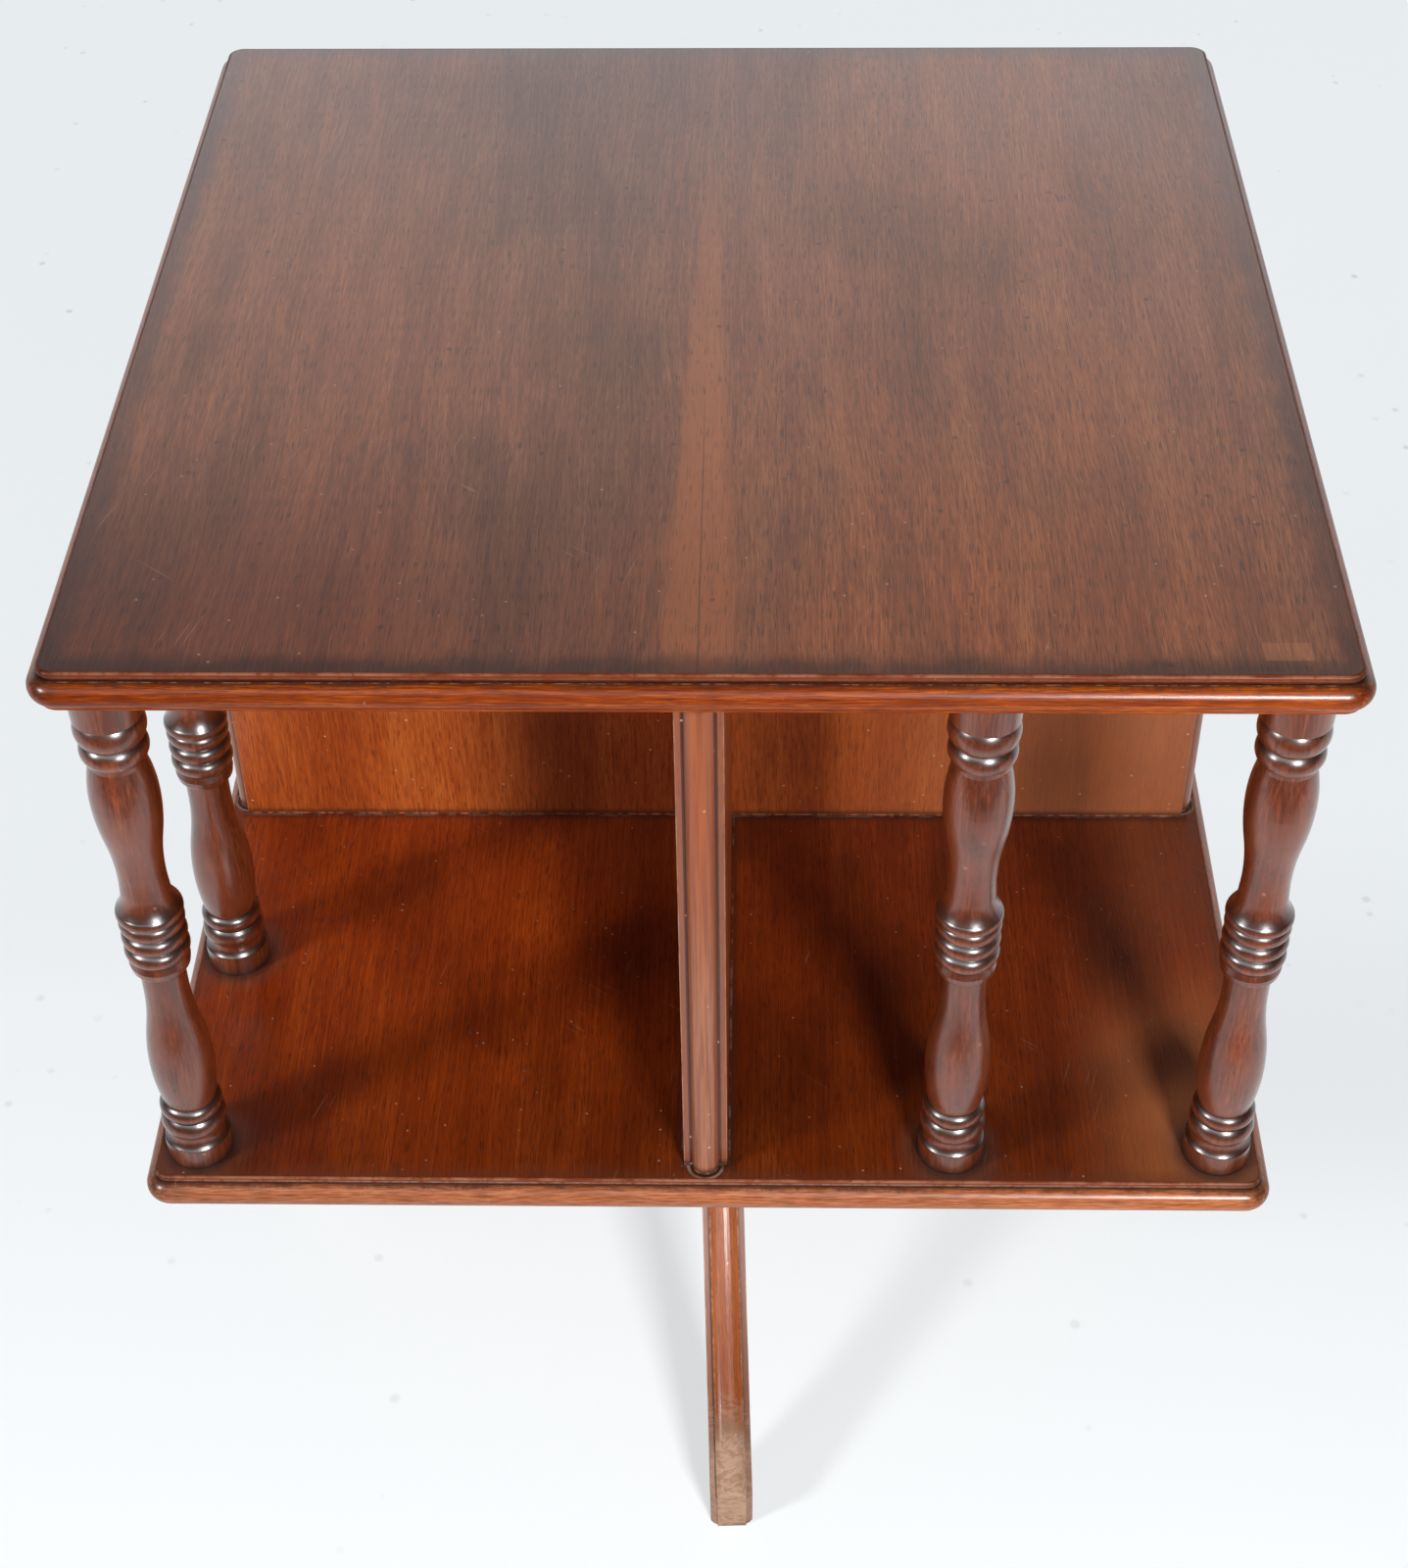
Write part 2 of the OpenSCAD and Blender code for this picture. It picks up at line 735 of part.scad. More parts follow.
// Dovetail in plan, from its neck on the leg's seat back towards the pillar's axis
module dovetail_plan(gap) {
    polygon([
        [leg_seat + gap, -dovetail_neck / 2 - gap], [leg_seat + gap, dovetail_neck / 2 + gap],
        [leg_seat - dovetail_l - gap, dovetail_back / 2 + gap],
        [leg_seat - dovetail_l - gap, -dovetail_back / 2 - gap]
    ]);
}

function pillar_stations() =
    let (
        chamfer = 2,
        ring_h = 10,
        ring_in = 1.5,
        cove_h = 14,
        cove_in = 4,
        cove_r = 16,
        plain_h = 3,
        under_head_h = 5,
        roll_h = 5,
        roll_in = 4,
        neck_z = drum_top + ring_h + cove_h,
        ball_base = neck_z + plain_h,
        head_z = pillar_top - head_h,
        ball_top = head_z - under_head_h,
        ball_mid = (ball_base + ball_top) / 2,
        ball_half = (ball_top - ball_base) / 2,
        ball_foot_r = pillar_neck_r + 2
    )
    [
        [drum_r - chamfer, drum_z, 0],
        [drum_r, drum_z + chamfer, 0],
        [drum_r, drum_top - ring_in, 0],
        [drum_r - ring_in, drum_top, bead_bend(ring_h, drum_bead_r - drum_r + ring_in)],
        [drum_r - ring_in, drum_top + ring_h, 0],
        [drum_r - cove_in, drum_top + ring_h, -cove_r],
        [pillar_neck_r, neck_z, 0],
        [pillar_neck_r, ball_base, 0],
        [ball_foot_r, ball_base, arc_r(ball_half, pillar_ball_r - ball_foot_r)],
        [pillar_ball_r, ball_mid, arc_r(ball_half, pillar_ball_r - ball_foot_r)],
        [ball_foot_r, ball_top, 0],
        [ball_foot_r, head_z, 0],
        [head_r - roll_in, head_z, arc_r(roll_h, roll_in)],
        [head_r, head_z + roll_h, 0],
        [head_r, pillar_top, 0]
    ];

module pillar() {
    hip_top = hip_c[1] + sqrt(hip_r * hip_r - pow(leg_seat - hip_c[0], 2));
    seat_top = hip_top + 4 * seat_gap;
    color(leg_wood) difference() {
        turned(pillar_stations());
        translate([0, 0, drum_z - over])
            cylinder(r = bush_r - bush_ledge, h = pillar_top - drum_z + 2 * over);
        translate([0, 0, pillar_top - bush_l])
            cylinder(r = bush_r + glue_gap, h = bush_l + over);
        translate([0, 0, lower_bush_z]) cylinder(r = bush_r + glue_gap, h = bush_l);
        translate([0, 0, drum_z - over]) cylinder(r = pocket_r, h = pocket_h + over);
        for (k = [0 : 3]) {
            rotate([0, 0, leg_turn + 90 * k]) {
                translate([leg_seat, -leg_w / 2 - seat_gap, drum_z - over])
                    cube([drum_r, leg_w + 2 * seat_gap, seat_top - drum_z + over]);
                translate([0, 0, drum_z - over])
                    linear_extrude(height = dovetail_h + over + glue_gap) dovetail_plan(glue_gap);
            }
        }
        screw_ring(drum_z - over, plate_screw_pcr, leg_turn + 45)
            cylinder(r = pilot_r, h = plate_screw_l - plate_t + over + glue_gap);
    }
}

// Section across a leg: x is the depth under the reed's crown
module leg_section() {
    crown = asin(reed_w / 2 / reed_r);
    shoulder = reed_sag + shoulder_drop;
    steps = 6;
    polygon(concat(
        [[leg_depth, leg_w / 2], [shoulder, leg_w / 2], [shoulder, reed_w / 2]],
        [for (i = [steps : -1 : -steps])
            let (a = crown * i / steps)
            [reed_r * (1 - cos(a)), reed_r * sin(a)]],
        [[shoulder, -reed_w / 2], [shoulder, -leg_w / 2], [leg_depth, -leg_w / 2]]
    ));
}

// The hollow part of a leg from the knee to the toe, in a frame that has its
// origin at the knee and X along the leg; its centre is above
module leg_sweep() {
    translate([0, sweep_r]) rotate([0, 0, -90])
        rotate_extrude(angle = knee_slope - toe_slope + toe_past, $fn = 720)
            translate([sweep_r, 0]) leg_section();
}

// The round part from the knee to the pillar, in the same frame; its centre is below
module leg_hip() {
    translate([0, -hip_r]) rotate([0, 0, 90])
        rotate_extrude(angle = knee_slope - hip_end_slope, $fn = 360)
            translate([hip_r, 0]) mirror([1, 0]) leg_section();
}

// Side view of what is left of a leg after its underside and toe are cut
module leg_side() {
    difference() {
        union() {
            translate([leg_seat, 0]) square([toe_touch[0] - leg_seat, drum_top]);
            square([leg_reach, toe_c[1]]);
            translate(toe_c) circle(r = toe_r);
        }
        translate([-leg_seat, -over]) square([2 * leg_seat, drum_top]);
        translate(arch_c) circle(r = arch_r, $fn = 720);
    }
}

// Plan of what is cut from the toe on one side of the reed to round its corner
module toe_corner_cut() {
    cut_y = reed_w / 2 - reed_trim;
    centre_y = leg_w / 2 - corner_share * toe_corner;
    reach = sqrt(pow(toe_corner, 2) - pow(cut_y - centre_y, 2));
    centre_x = leg_reach - toe_step - reach;
    difference() {
        translate([centre_x, cut_y])
            square([leg_reach - centre_x + over, leg_w / 2 - cut_y + over]);
        translate([centre_x, centre_y]) circle(r = toe_corner);
    }
}

module leg() {
    color(leg_wood) {
        difference() {
            intersection() {
                translate([knee_reach, 0, knee_z]) rotate([90, knee_slope, 0]) {
                    leg_hip();
                    leg_sweep();
                }
                translate([0, leg_w, 0]) rotate([90, 0, 0])
                    linear_extrude(height = 2 * leg_w) leg_side();
            }
            for (side = [0, 1]) {
                mirror([0, side, 0]) translate([0, 0, -over])
                    linear_extrude(height = knee_z) toe_corner_cut();
            }
        }
        translate([0, 0, drum_z]) linear_extrude(height = dovetail_h) dovetail_plan(0);
    }
}

module leg_at(turn) {
    rotate([0, 0, leg_turn + turn]) leg();
}

top_panel();
top_veneer(-1);  // top_veneer_left
top_veneer(1);  // top_veneer_right
top_edge(-90);  // top_edge_front
top_edge(0);  // top_edge_right
top_edge(90);  // top_edge_back
top_edge(180);  // top_edge_left
shelf_panel();
shelf_veneer();
shelf_edge(-90);  // shelf_edge_front
shelf_edge(0);  // shelf_edge_right
shelf_edge(90);  // shelf_edge_back
shelf_edge(180);  // shelf_edge_left
cross_divider();
front_divider();
back_divider();
spindle(spindle_corner(0));  // spindle_front_left
spindle(spindle_corner(1));  // spindle_front_right
spindle(spindle_corner(2));  // spindle_back_right
spindle(spindle_corner(3));  // spindle_back_left
spindle(spindle_middle(0));  // spindle_front_middle
spindle(spindle_middle(1));  // spindle_right_middle
spindle(spindle_middle(2));  // spindle_back_middle
spindle(spindle_middle(3));  // spindle_left_middle
turning_block();
block_screws();
pivot_spindle();
flange_screws();
retaining_washer();
retaining_nut();
pillar();
leg_at(-90);  // front_leg
leg_at(0);  // right_leg
leg_at(90);  // back_leg
leg_at(180);  // left_leg
thrust_ring();
upper_bush();
lower_bush();
dovetail_plate();
plate_screws();
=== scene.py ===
import math

import bpy
from mathutils import Euler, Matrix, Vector

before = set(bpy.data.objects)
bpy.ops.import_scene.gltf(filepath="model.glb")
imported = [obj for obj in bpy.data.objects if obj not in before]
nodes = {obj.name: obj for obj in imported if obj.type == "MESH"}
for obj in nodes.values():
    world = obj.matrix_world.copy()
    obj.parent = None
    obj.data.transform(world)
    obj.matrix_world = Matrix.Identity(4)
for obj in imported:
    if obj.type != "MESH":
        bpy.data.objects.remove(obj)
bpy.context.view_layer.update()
print("loaded the table,", len(nodes), "nodes")

# sizes that the finishes follow, in metres, and two angles of the legs in degrees
table = {
    "topUnder": 0.5825,
    "shelfUnder": 0.2865,
    "shelfFace": 0.304,
    "fieldHalf": 0.2479,
    "dividerHalf": 0.00975,
    "shoulder": 0.2402,
    "spindleAxis": 0.23,
    "middleOffset": 0.1105,
    "footRadius": 0.0148,
    "legTurn": 2.6,
    "kneeSlope": 48,
}


# small helpers for building materials
# the node tree that is being built at the moment
bench = {}


def feed(socket, value):
    # a value is either another node's output or a plain number or colour
    if isinstance(value, bpy.types.NodeSocket):
        bench["tree"].links.new(value, socket)
    elif isinstance(value, (tuple, list)) and len(value) == 3 and socket.type == "RGBA":
        socket.default_value = (*value, 1)
    else:
        socket.default_value = value


def place(kind, *values, operation=None, **named):
    # a new node, fed in the order of its inputs or by their names
    node = bench["tree"].nodes.new("ShaderNode" + kind)
    if operation:
        node.operation = operation
    for socket, value in zip(node.inputs, values):
        feed(socket, value)
    for name, value in named.items():
        feed(node.inputs[name.replace("_", " ")], value)
    return node


def calc(operation, a, b=0.0, c=0.0):
    return place("Math", a, b, c, operation=operation).outputs[0]


def plus(a, b):
    return calc("ADD", a, b)


def minus(a, b):
    return calc("SUBTRACT", a, b)


def absolute(a):
    return calc("ABSOLUTE", a)


def chain(operation, values):
    result = values[0]
    for value in values[1:]:
        result = calc(operation, result, value)
    return result


def times(*values):
    return chain("MULTIPLY", values)


def most(*values):
    return chain("MAXIMUM", values)


def least(*values):
    return chain("MINIMUM", values)


def span(value, low, high):
    # runs from low to high while the value runs from 0 to 1
    return calc("MULTIPLY_ADD", value, high - low, low)


def ease(value, start, end):
    # runs smoothly from 0 at start to 1 at end, which may lie either way round
    node = place("MapRange", Value=value, From_Min=start, From_Max=end)
    node.interpolation_type = "SMOOTHSTEP"
    return node.outputs["Result"]


def band(value, centre, width, soft):
    # 1 within half the width of the centre, fading out over soft
    away = absolute(minus(value, centre))
    return ease(away, width / 2 + soft, width / 2)


def tint(amount, a, b, mode="MIX"):
    node = place("Mix")
    node.data_type = "RGBA"
    node.blend_type = mode
    feed(node.inputs[0], amount)
    feed(node.inputs[6], a)
    feed(node.inputs[7], b)
    return node.outputs[2]


def shades(value, stops):
    node = place("ValToRGB")
    steps = node.color_ramp.elements
    for spare in range(len(stops) - 2):
        steps.new(0.5)
    for step, (at, color) in zip(steps, stops):
        step.position = at
        step.color = (*color, 1)
    feed(node.inputs[0], value)
    return node.outputs[0]


def axes():
    # x, y and z of the table itself, in metres, which ride along with every piece
    return place("SeparateXYZ", place("TexCoord").outputs["Object"]).outputs


def normalOf():
    return place("SeparateXYZ", place("TexCoord").outputs["Normal"]).outputs


def join(x, y, z):
    return place("CombineXYZ", x, y, z).outputs[0]


def turned(u, v, degrees):
    # the pair (u, v) seen from a frame that is turned by so many degrees
    cosine = math.cos(math.radians(degrees))
    sine = math.sin(math.radians(degrees))
    along = plus(times(u, cosine), times(v, sine))
    across = minus(times(v, cosine), times(u, sine))
    return along, across


def outAndIn(x, y):
    # how far a point lies out from the middle of the square table, and from the nearer of its middle lines
    wide = absolute(x)
    deep = absolute(y)
    return most(wide, deep), least(wide, deep)


# how far one seed moves each texture, and what a speck looks like in its cell
texture = {
    "noiseStride": (3.71, 5.13, 2.39),
    "speckStride": (1.37, 2.11, 0.73),
    "speckChosen": 0.4,
    "speckEdge": (0.2, 0.08),
    "bevelRays": 4,
    "hollowRays": 6,
}


def cells(kind, vector, size, shift, **named):
    # a texture whose cells have the given size in metres along x, y and z
    scaled = place("VectorMath", vector, [1 / edge for edge in size], shift, operation="MULTIPLY_ADD")
    return place(kind, Vector=scaled.outputs[0], Scale=1, **named)


def mottle(vector, size, shift, detail=2.0, roughness=0.5, distortion=0.0, seed=0.0):
    # soft noise; its shift is added to the seed of the piece
    moved = [(seed + shift) * step for step in texture["noiseStride"]]
    node = cells("TexNoise", vector, size, moved, Detail=detail, Roughness=roughness, Distortion=distortion)
    return node.outputs[0]


def specks(vector, size, share, seed):
    # small round dots in some of the cells, each at its own place and of its own size
    node = cells("TexVoronoi", vector, (size, size, size), [seed * step for step in texture["speckStride"]])
    pick = place("SeparateColor", node.outputs["Color"])
    chosen = ease(pick.outputs[0], share, share * texture["speckChosen"])
    near = ease(node.outputs["Distance"], *texture["speckEdge"])
    return times(chosen, near)


def blend(share, under, over):
    return place("MixShader", share, under, over).outputs[0]


def surface(name):
    material = bpy.data.materials.new(name)
    material.use_nodes = True
    bench["tree"] = material.node_tree
    return material, material.node_tree.nodes["Principled BSDF"]


def bump(shader, height, depth, under=None):
    node = place("Bump", Strength=1.0, Distance=depth, Height=height)
    if under is not None:
        feed(node.inputs["Normal"], under)
    feed(shader.inputs["Normal"], node.outputs[0])


def softEdges(radius):
    node = place("Bevel", Radius=radius)
    node.samples = texture["bevelRays"]
    return node.outputs[0]


def sheltered(reach, start, end):
    # 1 deep in the hollows, where little is open within reach
    node = place("AmbientOcclusion", Distance=reach)
    node.samples = texture["hollowRays"]
    return ease(node.outputs["AO"], start, end)


def dress(material, *names):
    for name in names:
        nodes[name].material_slots[0].material = material


# what all the woods share
# In a look, band, streak and fine are layers of the grain, each with a width, a length and a share. Pores
# have a width, a length, where they start in their noise and a share. A noise has the size of its lumps, a
# step on from the look's seed, its detail and roughness. Specks have the size of their cells, a share and a
# seed. A mark has a paint of the look or a glaze, a share, and limits on the fields that it follows: where
# an edge starts and ends, or the centre, width and softness of a line.
wood = {
    "sway": ((0.06, 0.06, 0.22), 9, 1.0),
    "layers": {"band": (0, 1.0, 0.5), "streak": (2, 3.0, 0.6), "fine": (4, 2.0, 0.6)},
    "toneStops": (0.2, 0.5, 0.8),
    "poreShift": 6,
    "poreSoft": 0.09,
    "ridge": 0.3,
    "poreDepth": 0.7,
}


def grainOf(look, across, depth, along):
    # the grain's own coordinates, which wander a little as a tree grows
    straight = join(across, depth, along)
    sway = mottle(straight, *wood["sway"], seed=look["seed"])
    bend = span(sway, -look["wander"] / 2, look["wander"] / 2)
    return join(plus(across, bend), depth, along)


def woodColor(look, across, depth, along):
    # the layers add up to a tone between the look's three shades, and the pores lie over it
    grain = grainOf(look, across, depth, along)
    tone = 0.5
    for kind, (shift, detail, roughness) in wood["layers"].items():
        width, length, share = look[kind]
        lines = mottle(grain, (width, width, length), shift, detail, roughness, seed=look["seed"])
        tone = plus(tone, span(lines, -share / 2, share / 2))
    color = shades(tone, list(zip(wood["toneStops"], (look["dark"], look["middle"], look["light"]))))
    width, length, start, share = look["pores"]
    holes = mottle(grain, (width, width, length), wood["poreShift"], 0.0, seed=look["seed"])
    pores = ease(holes, start, start + wood["poreSoft"])
    color = tint(times(pores, share), color, look["pore"])
    # the last layer is the finest, which the relief follows too
    return color, pores, lines


def noise(look, kind, vector):
    return mottle(vector, *look["noises"][kind], seed=look["seed"])


def openGrain(pores, fine):
    return minus(times(fine, wood["ridge"]), times(pores, wood["poreDepth"]))


def where(look, kind, fields, *masks):
    # how far a mark shows at each point
    parts = list(masks)
    for field, limits in look["marks"][kind].items():
        if field in fields:
            for limit in limits if isinstance(limits, list) else [limits]:
                shape = band if len(limit) == 3 else ease
                parts.append(shape(fields[field], *limit))
    return times(*parts)


def lay(color, look, kind, here):
    # a paint covers the wood, a glaze multiplies it
    spot = look["marks"][kind]
    amount = times(here, spot["share"]) if "share" in spot else here
    if "glaze" in spot:
        return tint(amount, color, spot["glaze"], "MULTIPLY")
    return tint(amount, color, look[spot["paint"]])


def mark(color, look, kind, fields, *masks):
    return lay(color, look, kind, where(look, kind, fields, *masks))


def marks(color, look, fields, *kinds):
    for kind in kinds:
        color = mark(color, look, kind, fields)
    return color


polishSockets = {
    "Coat Weight": "coat",
    "Coat Roughness": "coatRough",
    "Coat IOR": "coatIor",
    "Specular IOR Level": "specular",
}


def polish(shader, look, color, rough):
    feed(shader.inputs["Base Color"], color)
    feed(shader.inputs["Roughness"], rough)
    for name, key in polishSockets.items():
        shader.inputs[name].default_value = look[key]


scratchLook = {
    "turns": (17, -52),
    "lines": ((0.0007, 0.03, 1), 20, 0.0),
    "lineEdge": (0.78, 0.82),
    "patches": ((0.05, 0.05, 1), 30, 1.0),
    "patchEdge": (0.58, 0.66),
}


def scratches(flat, seed):
    # thin broken lines, each set across the surface in its own direction
    look = scratchLook
    sets = []
    for number, degrees in enumerate(look["turns"]):
        turn = place("Mapping", Vector=flat, Rotation=(0, 0, math.radians(degrees)))
        lines = mottle(turn.outputs[0], *look["lines"], seed=seed + number)
        patchy = mottle(flat, *look["patches"], seed=seed + number)
        sets.append(times(ease(lines, *look["lineEdge"]), ease(patchy, *look["patchEdge"])))
    return most(*sets)


# the veneered top
topLook = {
    "seed": 1.0, "wander": 0.014, "leafShift": 0.31,
    "band": (0.014, 0.2, 0.32), "streak": (0.0011, 0.034, 0.62), "fine": (0.0005, 0.007, 0.5),
    "dark": (0.095, 0.031, 0.016), "middle": (0.235, 0.078, 0.034), "light": (0.39, 0.15, 0.064),
    "pores": (0.00045, 0.01, 0.62, 0.6), "pore": (0.05, 0.02, 0.014),
    "border": (0.036, 0.014, 0.01), "stripe": (0.38, 0.13, 0.05), "joint": (0.035, 0.013, 0.009),
    "patch": (0.34, 0.14, 0.06), "dust": (0.45, 0.33, 0.27),
    "rough": (0.27, 0.57), "borderRough": -0.08, "relief": 0.00004,
    "coat": 0.6, "coatRough": 0.2, "coatIor": 1.42, "specular": 0.25,
    "noises": {
        "cloud": ((0.09, 0.16, 1), 2, 3.0, 0.6),
        "waver": ((0.004, 0.05, 1), 4, 3.0),
        "ragged": ((0.016, 0.016, 1), 6, 4.0, 0.6),
    },
    "waver": 0.004, "ragged": 0.008,
    # the stripe's half width shrinks with y, down to a least one
    "stripeTaper": (-0.033, 0.0072), "stripeLeast": 0.0012,
    "jointWaver": 0.05, "jointDepth": 1.5, "openFrom": (-0.03, -0.12), "openShare": (0.05, 0.5),
    "frontFrom": (-0.215, -0.235), "borderShare": (0.48, 0.72),
    "fray": 0.0007, "patchPores": 0.6, "scratchDepth": 0.6,
    "dustSpecks": (0.0042, 0.06, 2.0), "dotSpecks": (0.009, 0.2, 4.0),
    "marks": {
        "cloud": {"glaze": (0.74, 0.82, 0.92), "cloud": (0.4, 0.68)},
        "darkFigure": {"glaze": (0.88, 0.92, 0.95), "x": (-0.055, 0.05, 0.05)},
        "lightFigure": {"glaze": (1.16, 1.1, 1.0), "x": (0.115, 0.08, 0.05)},
        "stripe": {"paint": "stripe", "share": 0.6, "reach": (1.25, 0.6), "y": (0.16, 0.04)},
        "stripePores": {"paint": "pore", "share": 0.4},
        "joint": {"paint": "joint", "seam": (0.0005, 0.0002)},
        "border": {"paint": "border", "inset": (0.015, 0.002)},
        "leftCorner": {"glaze": (0.52, 0.36, 0.28), "share": 0.9, "x": (0.05, -0.24), "y": (-0.05, -0.23)},
        "front": {"glaze": (0.86, 0.8, 0.76), "y": (-0.08, -0.23)},
        "dust": {"paint": "dust", "share": 0.4},
        "dots": {"paint": "joint", "share": 0.6},
        "scratch": {"paint": "dust", "share": 0.18},
        "patch": {"paint": "patch", "share": 0.38, "frayedX": [(0.2116, 0.2124), (0.2306, 0.2298)],
                  "y": [(-0.2403, -0.2391), (-0.2286, -0.2299)]},
    },
}


def topVeneer():
    look = topLook
    material, shader = surface("top_polish")
    x, y, z = axes()
    # the two leaves are opened like a book, so the broad figure mirrors at the joint
    folded = absolute(x)
    side = times(calc("SIGN", x), look["leafShift"])
    color, pores, fine = woodColor(look, folded, side, y)
    flat = join(x, y, 0.0)
    cloud = noise(look, "cloud", flat)
    waver = span(noise(look, "waver", flat), -look["waver"], look["waver"])
    ragged = span(noise(look, "ragged", flat), -look["ragged"], look["ragged"])
    reach = most(calc("MULTIPLY_ADD", y, *look["stripeTaper"]), look["stripeLeast"])
    out = outAndIn(x, y)[0]
    fields = {
        "x": x, "y": y, "cloud": cloud,
        "reach": calc("DIVIDE", plus(folded, waver), reach),
        "seam": plus(folded, times(waver, look["jointWaver"])),
        "inset": plus(minus(table["fieldHalf"], out), ragged),
        "frayedX": plus(x, span(fine, -look["fray"], look["fray"])),
    }
    # one broad darker figure left of the joint and a lighter one right of it
    color = marks(color, look, fields, "cloud", "darkFigure", "lightFigure")
    # the lighter stripe by the joint narrows and runs out towards the back
    inStripe = where(look, "stripe", fields)
    color = lay(color, look, "stripe", inStripe)
    color = mark(color, look, "stripePores", fields, pores, inStripe)
    # the joint stands open towards the front
    opened = span(ease(y, *look["openFrom"]), *look["openShare"])
    jointLine = where(look, "joint", fields, opened)
    color = lay(color, look, "joint", jointLine)
    # burnished darker border, strongest in front
    inBorder = where(look, "border", fields)
    strong = span(ease(y, *look["frontFrom"]), *look["borderShare"])
    color = lay(color, look, "border", times(inBorder, strong))
    color = marks(color, look, fields, "leftCorner", "front")
    # a little dust, dark dots and faint scratches
    color = lay(color, look, "dust", specks(flat, *look["dustSpecks"]))
    color = lay(color, look, "dots", specks(flat, *look["dotSpecks"]))
    scratch = scratches(flat, 0.0)
    color = lay(color, look, "scratch", scratch)
    # the pale patch near the right front corner keeps the grain
    closed = minus(1.0, times(pores, look["patchPores"]))
    color = mark(color, look, "patch", fields, closed)
    rough = span(cloud, *look["rough"])
    polish(shader, look, color, calc("MULTIPLY_ADD", inBorder, look["borderRough"], rough))
    cuts = most(times(jointLine, look["jointDepth"]), times(scratch, look["scratchDepth"]))
    bump(shader, minus(openGrain(pores, fine), cuts), look["relief"])
    return material


# the moulded lippings round both boards
lippingLook = {
    "wander": 0.002,
    "band": (0.006, 0.12, 0.45), "streak": (0.001, 0.026, 0.95), "fine": (0.0005, 0.01, 0.6),
    "dark": (0.06, 0.007, 0.0005), "middle": (0.145, 0.0215, 0.001), "light": (0.28, 0.064, 0.005),
    "pores": (0.0004, 0.006, 0.6, 0.6), "pore": (0.07, 0.014, 0.005),
    "worn": (0.42, 0.2, 0.12), "step": (0.09, 0.018, 0.006), "dirt": (0.012, 0.005, 0.003),
    "stain": (0.045, 0.013, 0.007), "grey": (0.2, 0.125, 0.1), "under": (0.16, 0.075, 0.035),
    "faded": (0.4, 0.17, 0.088), "fadedDark": (0.16, 0.052, 0.02),
    "rough": (0.23, 0.53), "dirtRough": 0.4, "ledgeRough": 0.7, "relief": 0.00005, "softEdge": 0.0004,
    "coat": 0.6, "stepCoat": 0.1, "coatRough": 0.23, "coatIor": 1.37, "specular": 0.05,
    "noises": {
        "wear": ((0.02, 0.02, 0.02), 1, 4.0, 0.65),
        "fine": ((0.003, 0.003, 0.003), 2, 3.0, 0.6),
        "scuff": ((0.0014, 0.02, 1), 5, 1.0),
    },
    "scuffStretch": 9.0,
    "fadedShare": (0.25, 0.65), "fadedGrain": (0.3, 0.68), "fadedFrom": (0.3, 1.0),
    "grime": 0.7, "grimeLeast": 0.42, "grimeLess": 0.12,
    "stainDepth": (0.0108, 0.0138), "stainSoft": 0.0014,
    "marks": {
        # left and right are painted shade and a painted sheen of the right lamp along the front and back
        # lippings
        "left": {"glaze": (0.84, 0.8, 0.74), "x": (-0.04, -0.2)},
        "right": {"glaze": (1.3, 1.42, 1.3), "x": (0.04, 0.2)},
        "step": {"paint": "step", "share": 0.85, "height": (0.0137, 0.0142), "out": (0.2472, 0.248)},
        "quirk": {"paint": "dirt", "height": (0.0142, 0.0011, 0.0006), "out": (0.2518, 0.2498)},
        "stain": {"paint": "stain", "share": 0.8, "height": (0.0139, 0.0135), "wear": (0.36, 0.56)},
        "ledge": {"height": (0.0152, 0.0012, 0.0006), "fine": (0.3, 0.62)},
        # the grey on the ledge is dust and a painted reflection of the pale backdrop
        "ledgeDustAndSheen": {"paint": "grey", "share": 0.6, "out": (0.2478, 0.2488)},
        "arris": {"paint": "worn", "share": 0.3, "height": (0.0171, 0.0003, 0.0004), "out": (0.2476, 0.2482),
                  "wear": (0.34, 0.6), "fine": (0.25, 0.5)},
        # the pale line at the foot of the step is wear and a painted reflection
        "foot": {"paint": "worn", "share": 0.4, "height": (0.0138, 0.0002, 0.0003), "fine": (0.45, 0.66),
                 "out": (0.2492, 0.2497)},
        "turn": {"paint": "dirt", "share": 0.8, "corner": (0.235, 0.25), "height": (0.004, 0.0125),
                 "fine": (0.2, 0.6)},
        "smudge": {"paint": "stain", "share": 0.35, "corner": (0.16, 0.24), "wear": (0.5, 0.7)},
        "scuffs": {"paint": "worn", "share": 0.3, "lines": (0.72, 0.77), "wear": (0.52, 0.64)},
        "rubbed": {"paint": "worn", "share": 0.4, "height": (0.0019, 0.0004, 0.0005), "fine": (0.3, 0.6)},
        "below": {"paint": "under", "share": 0.75, "height": (0.0004, 0.0001), "out": (0.2475, 0.2465)},
    },
}


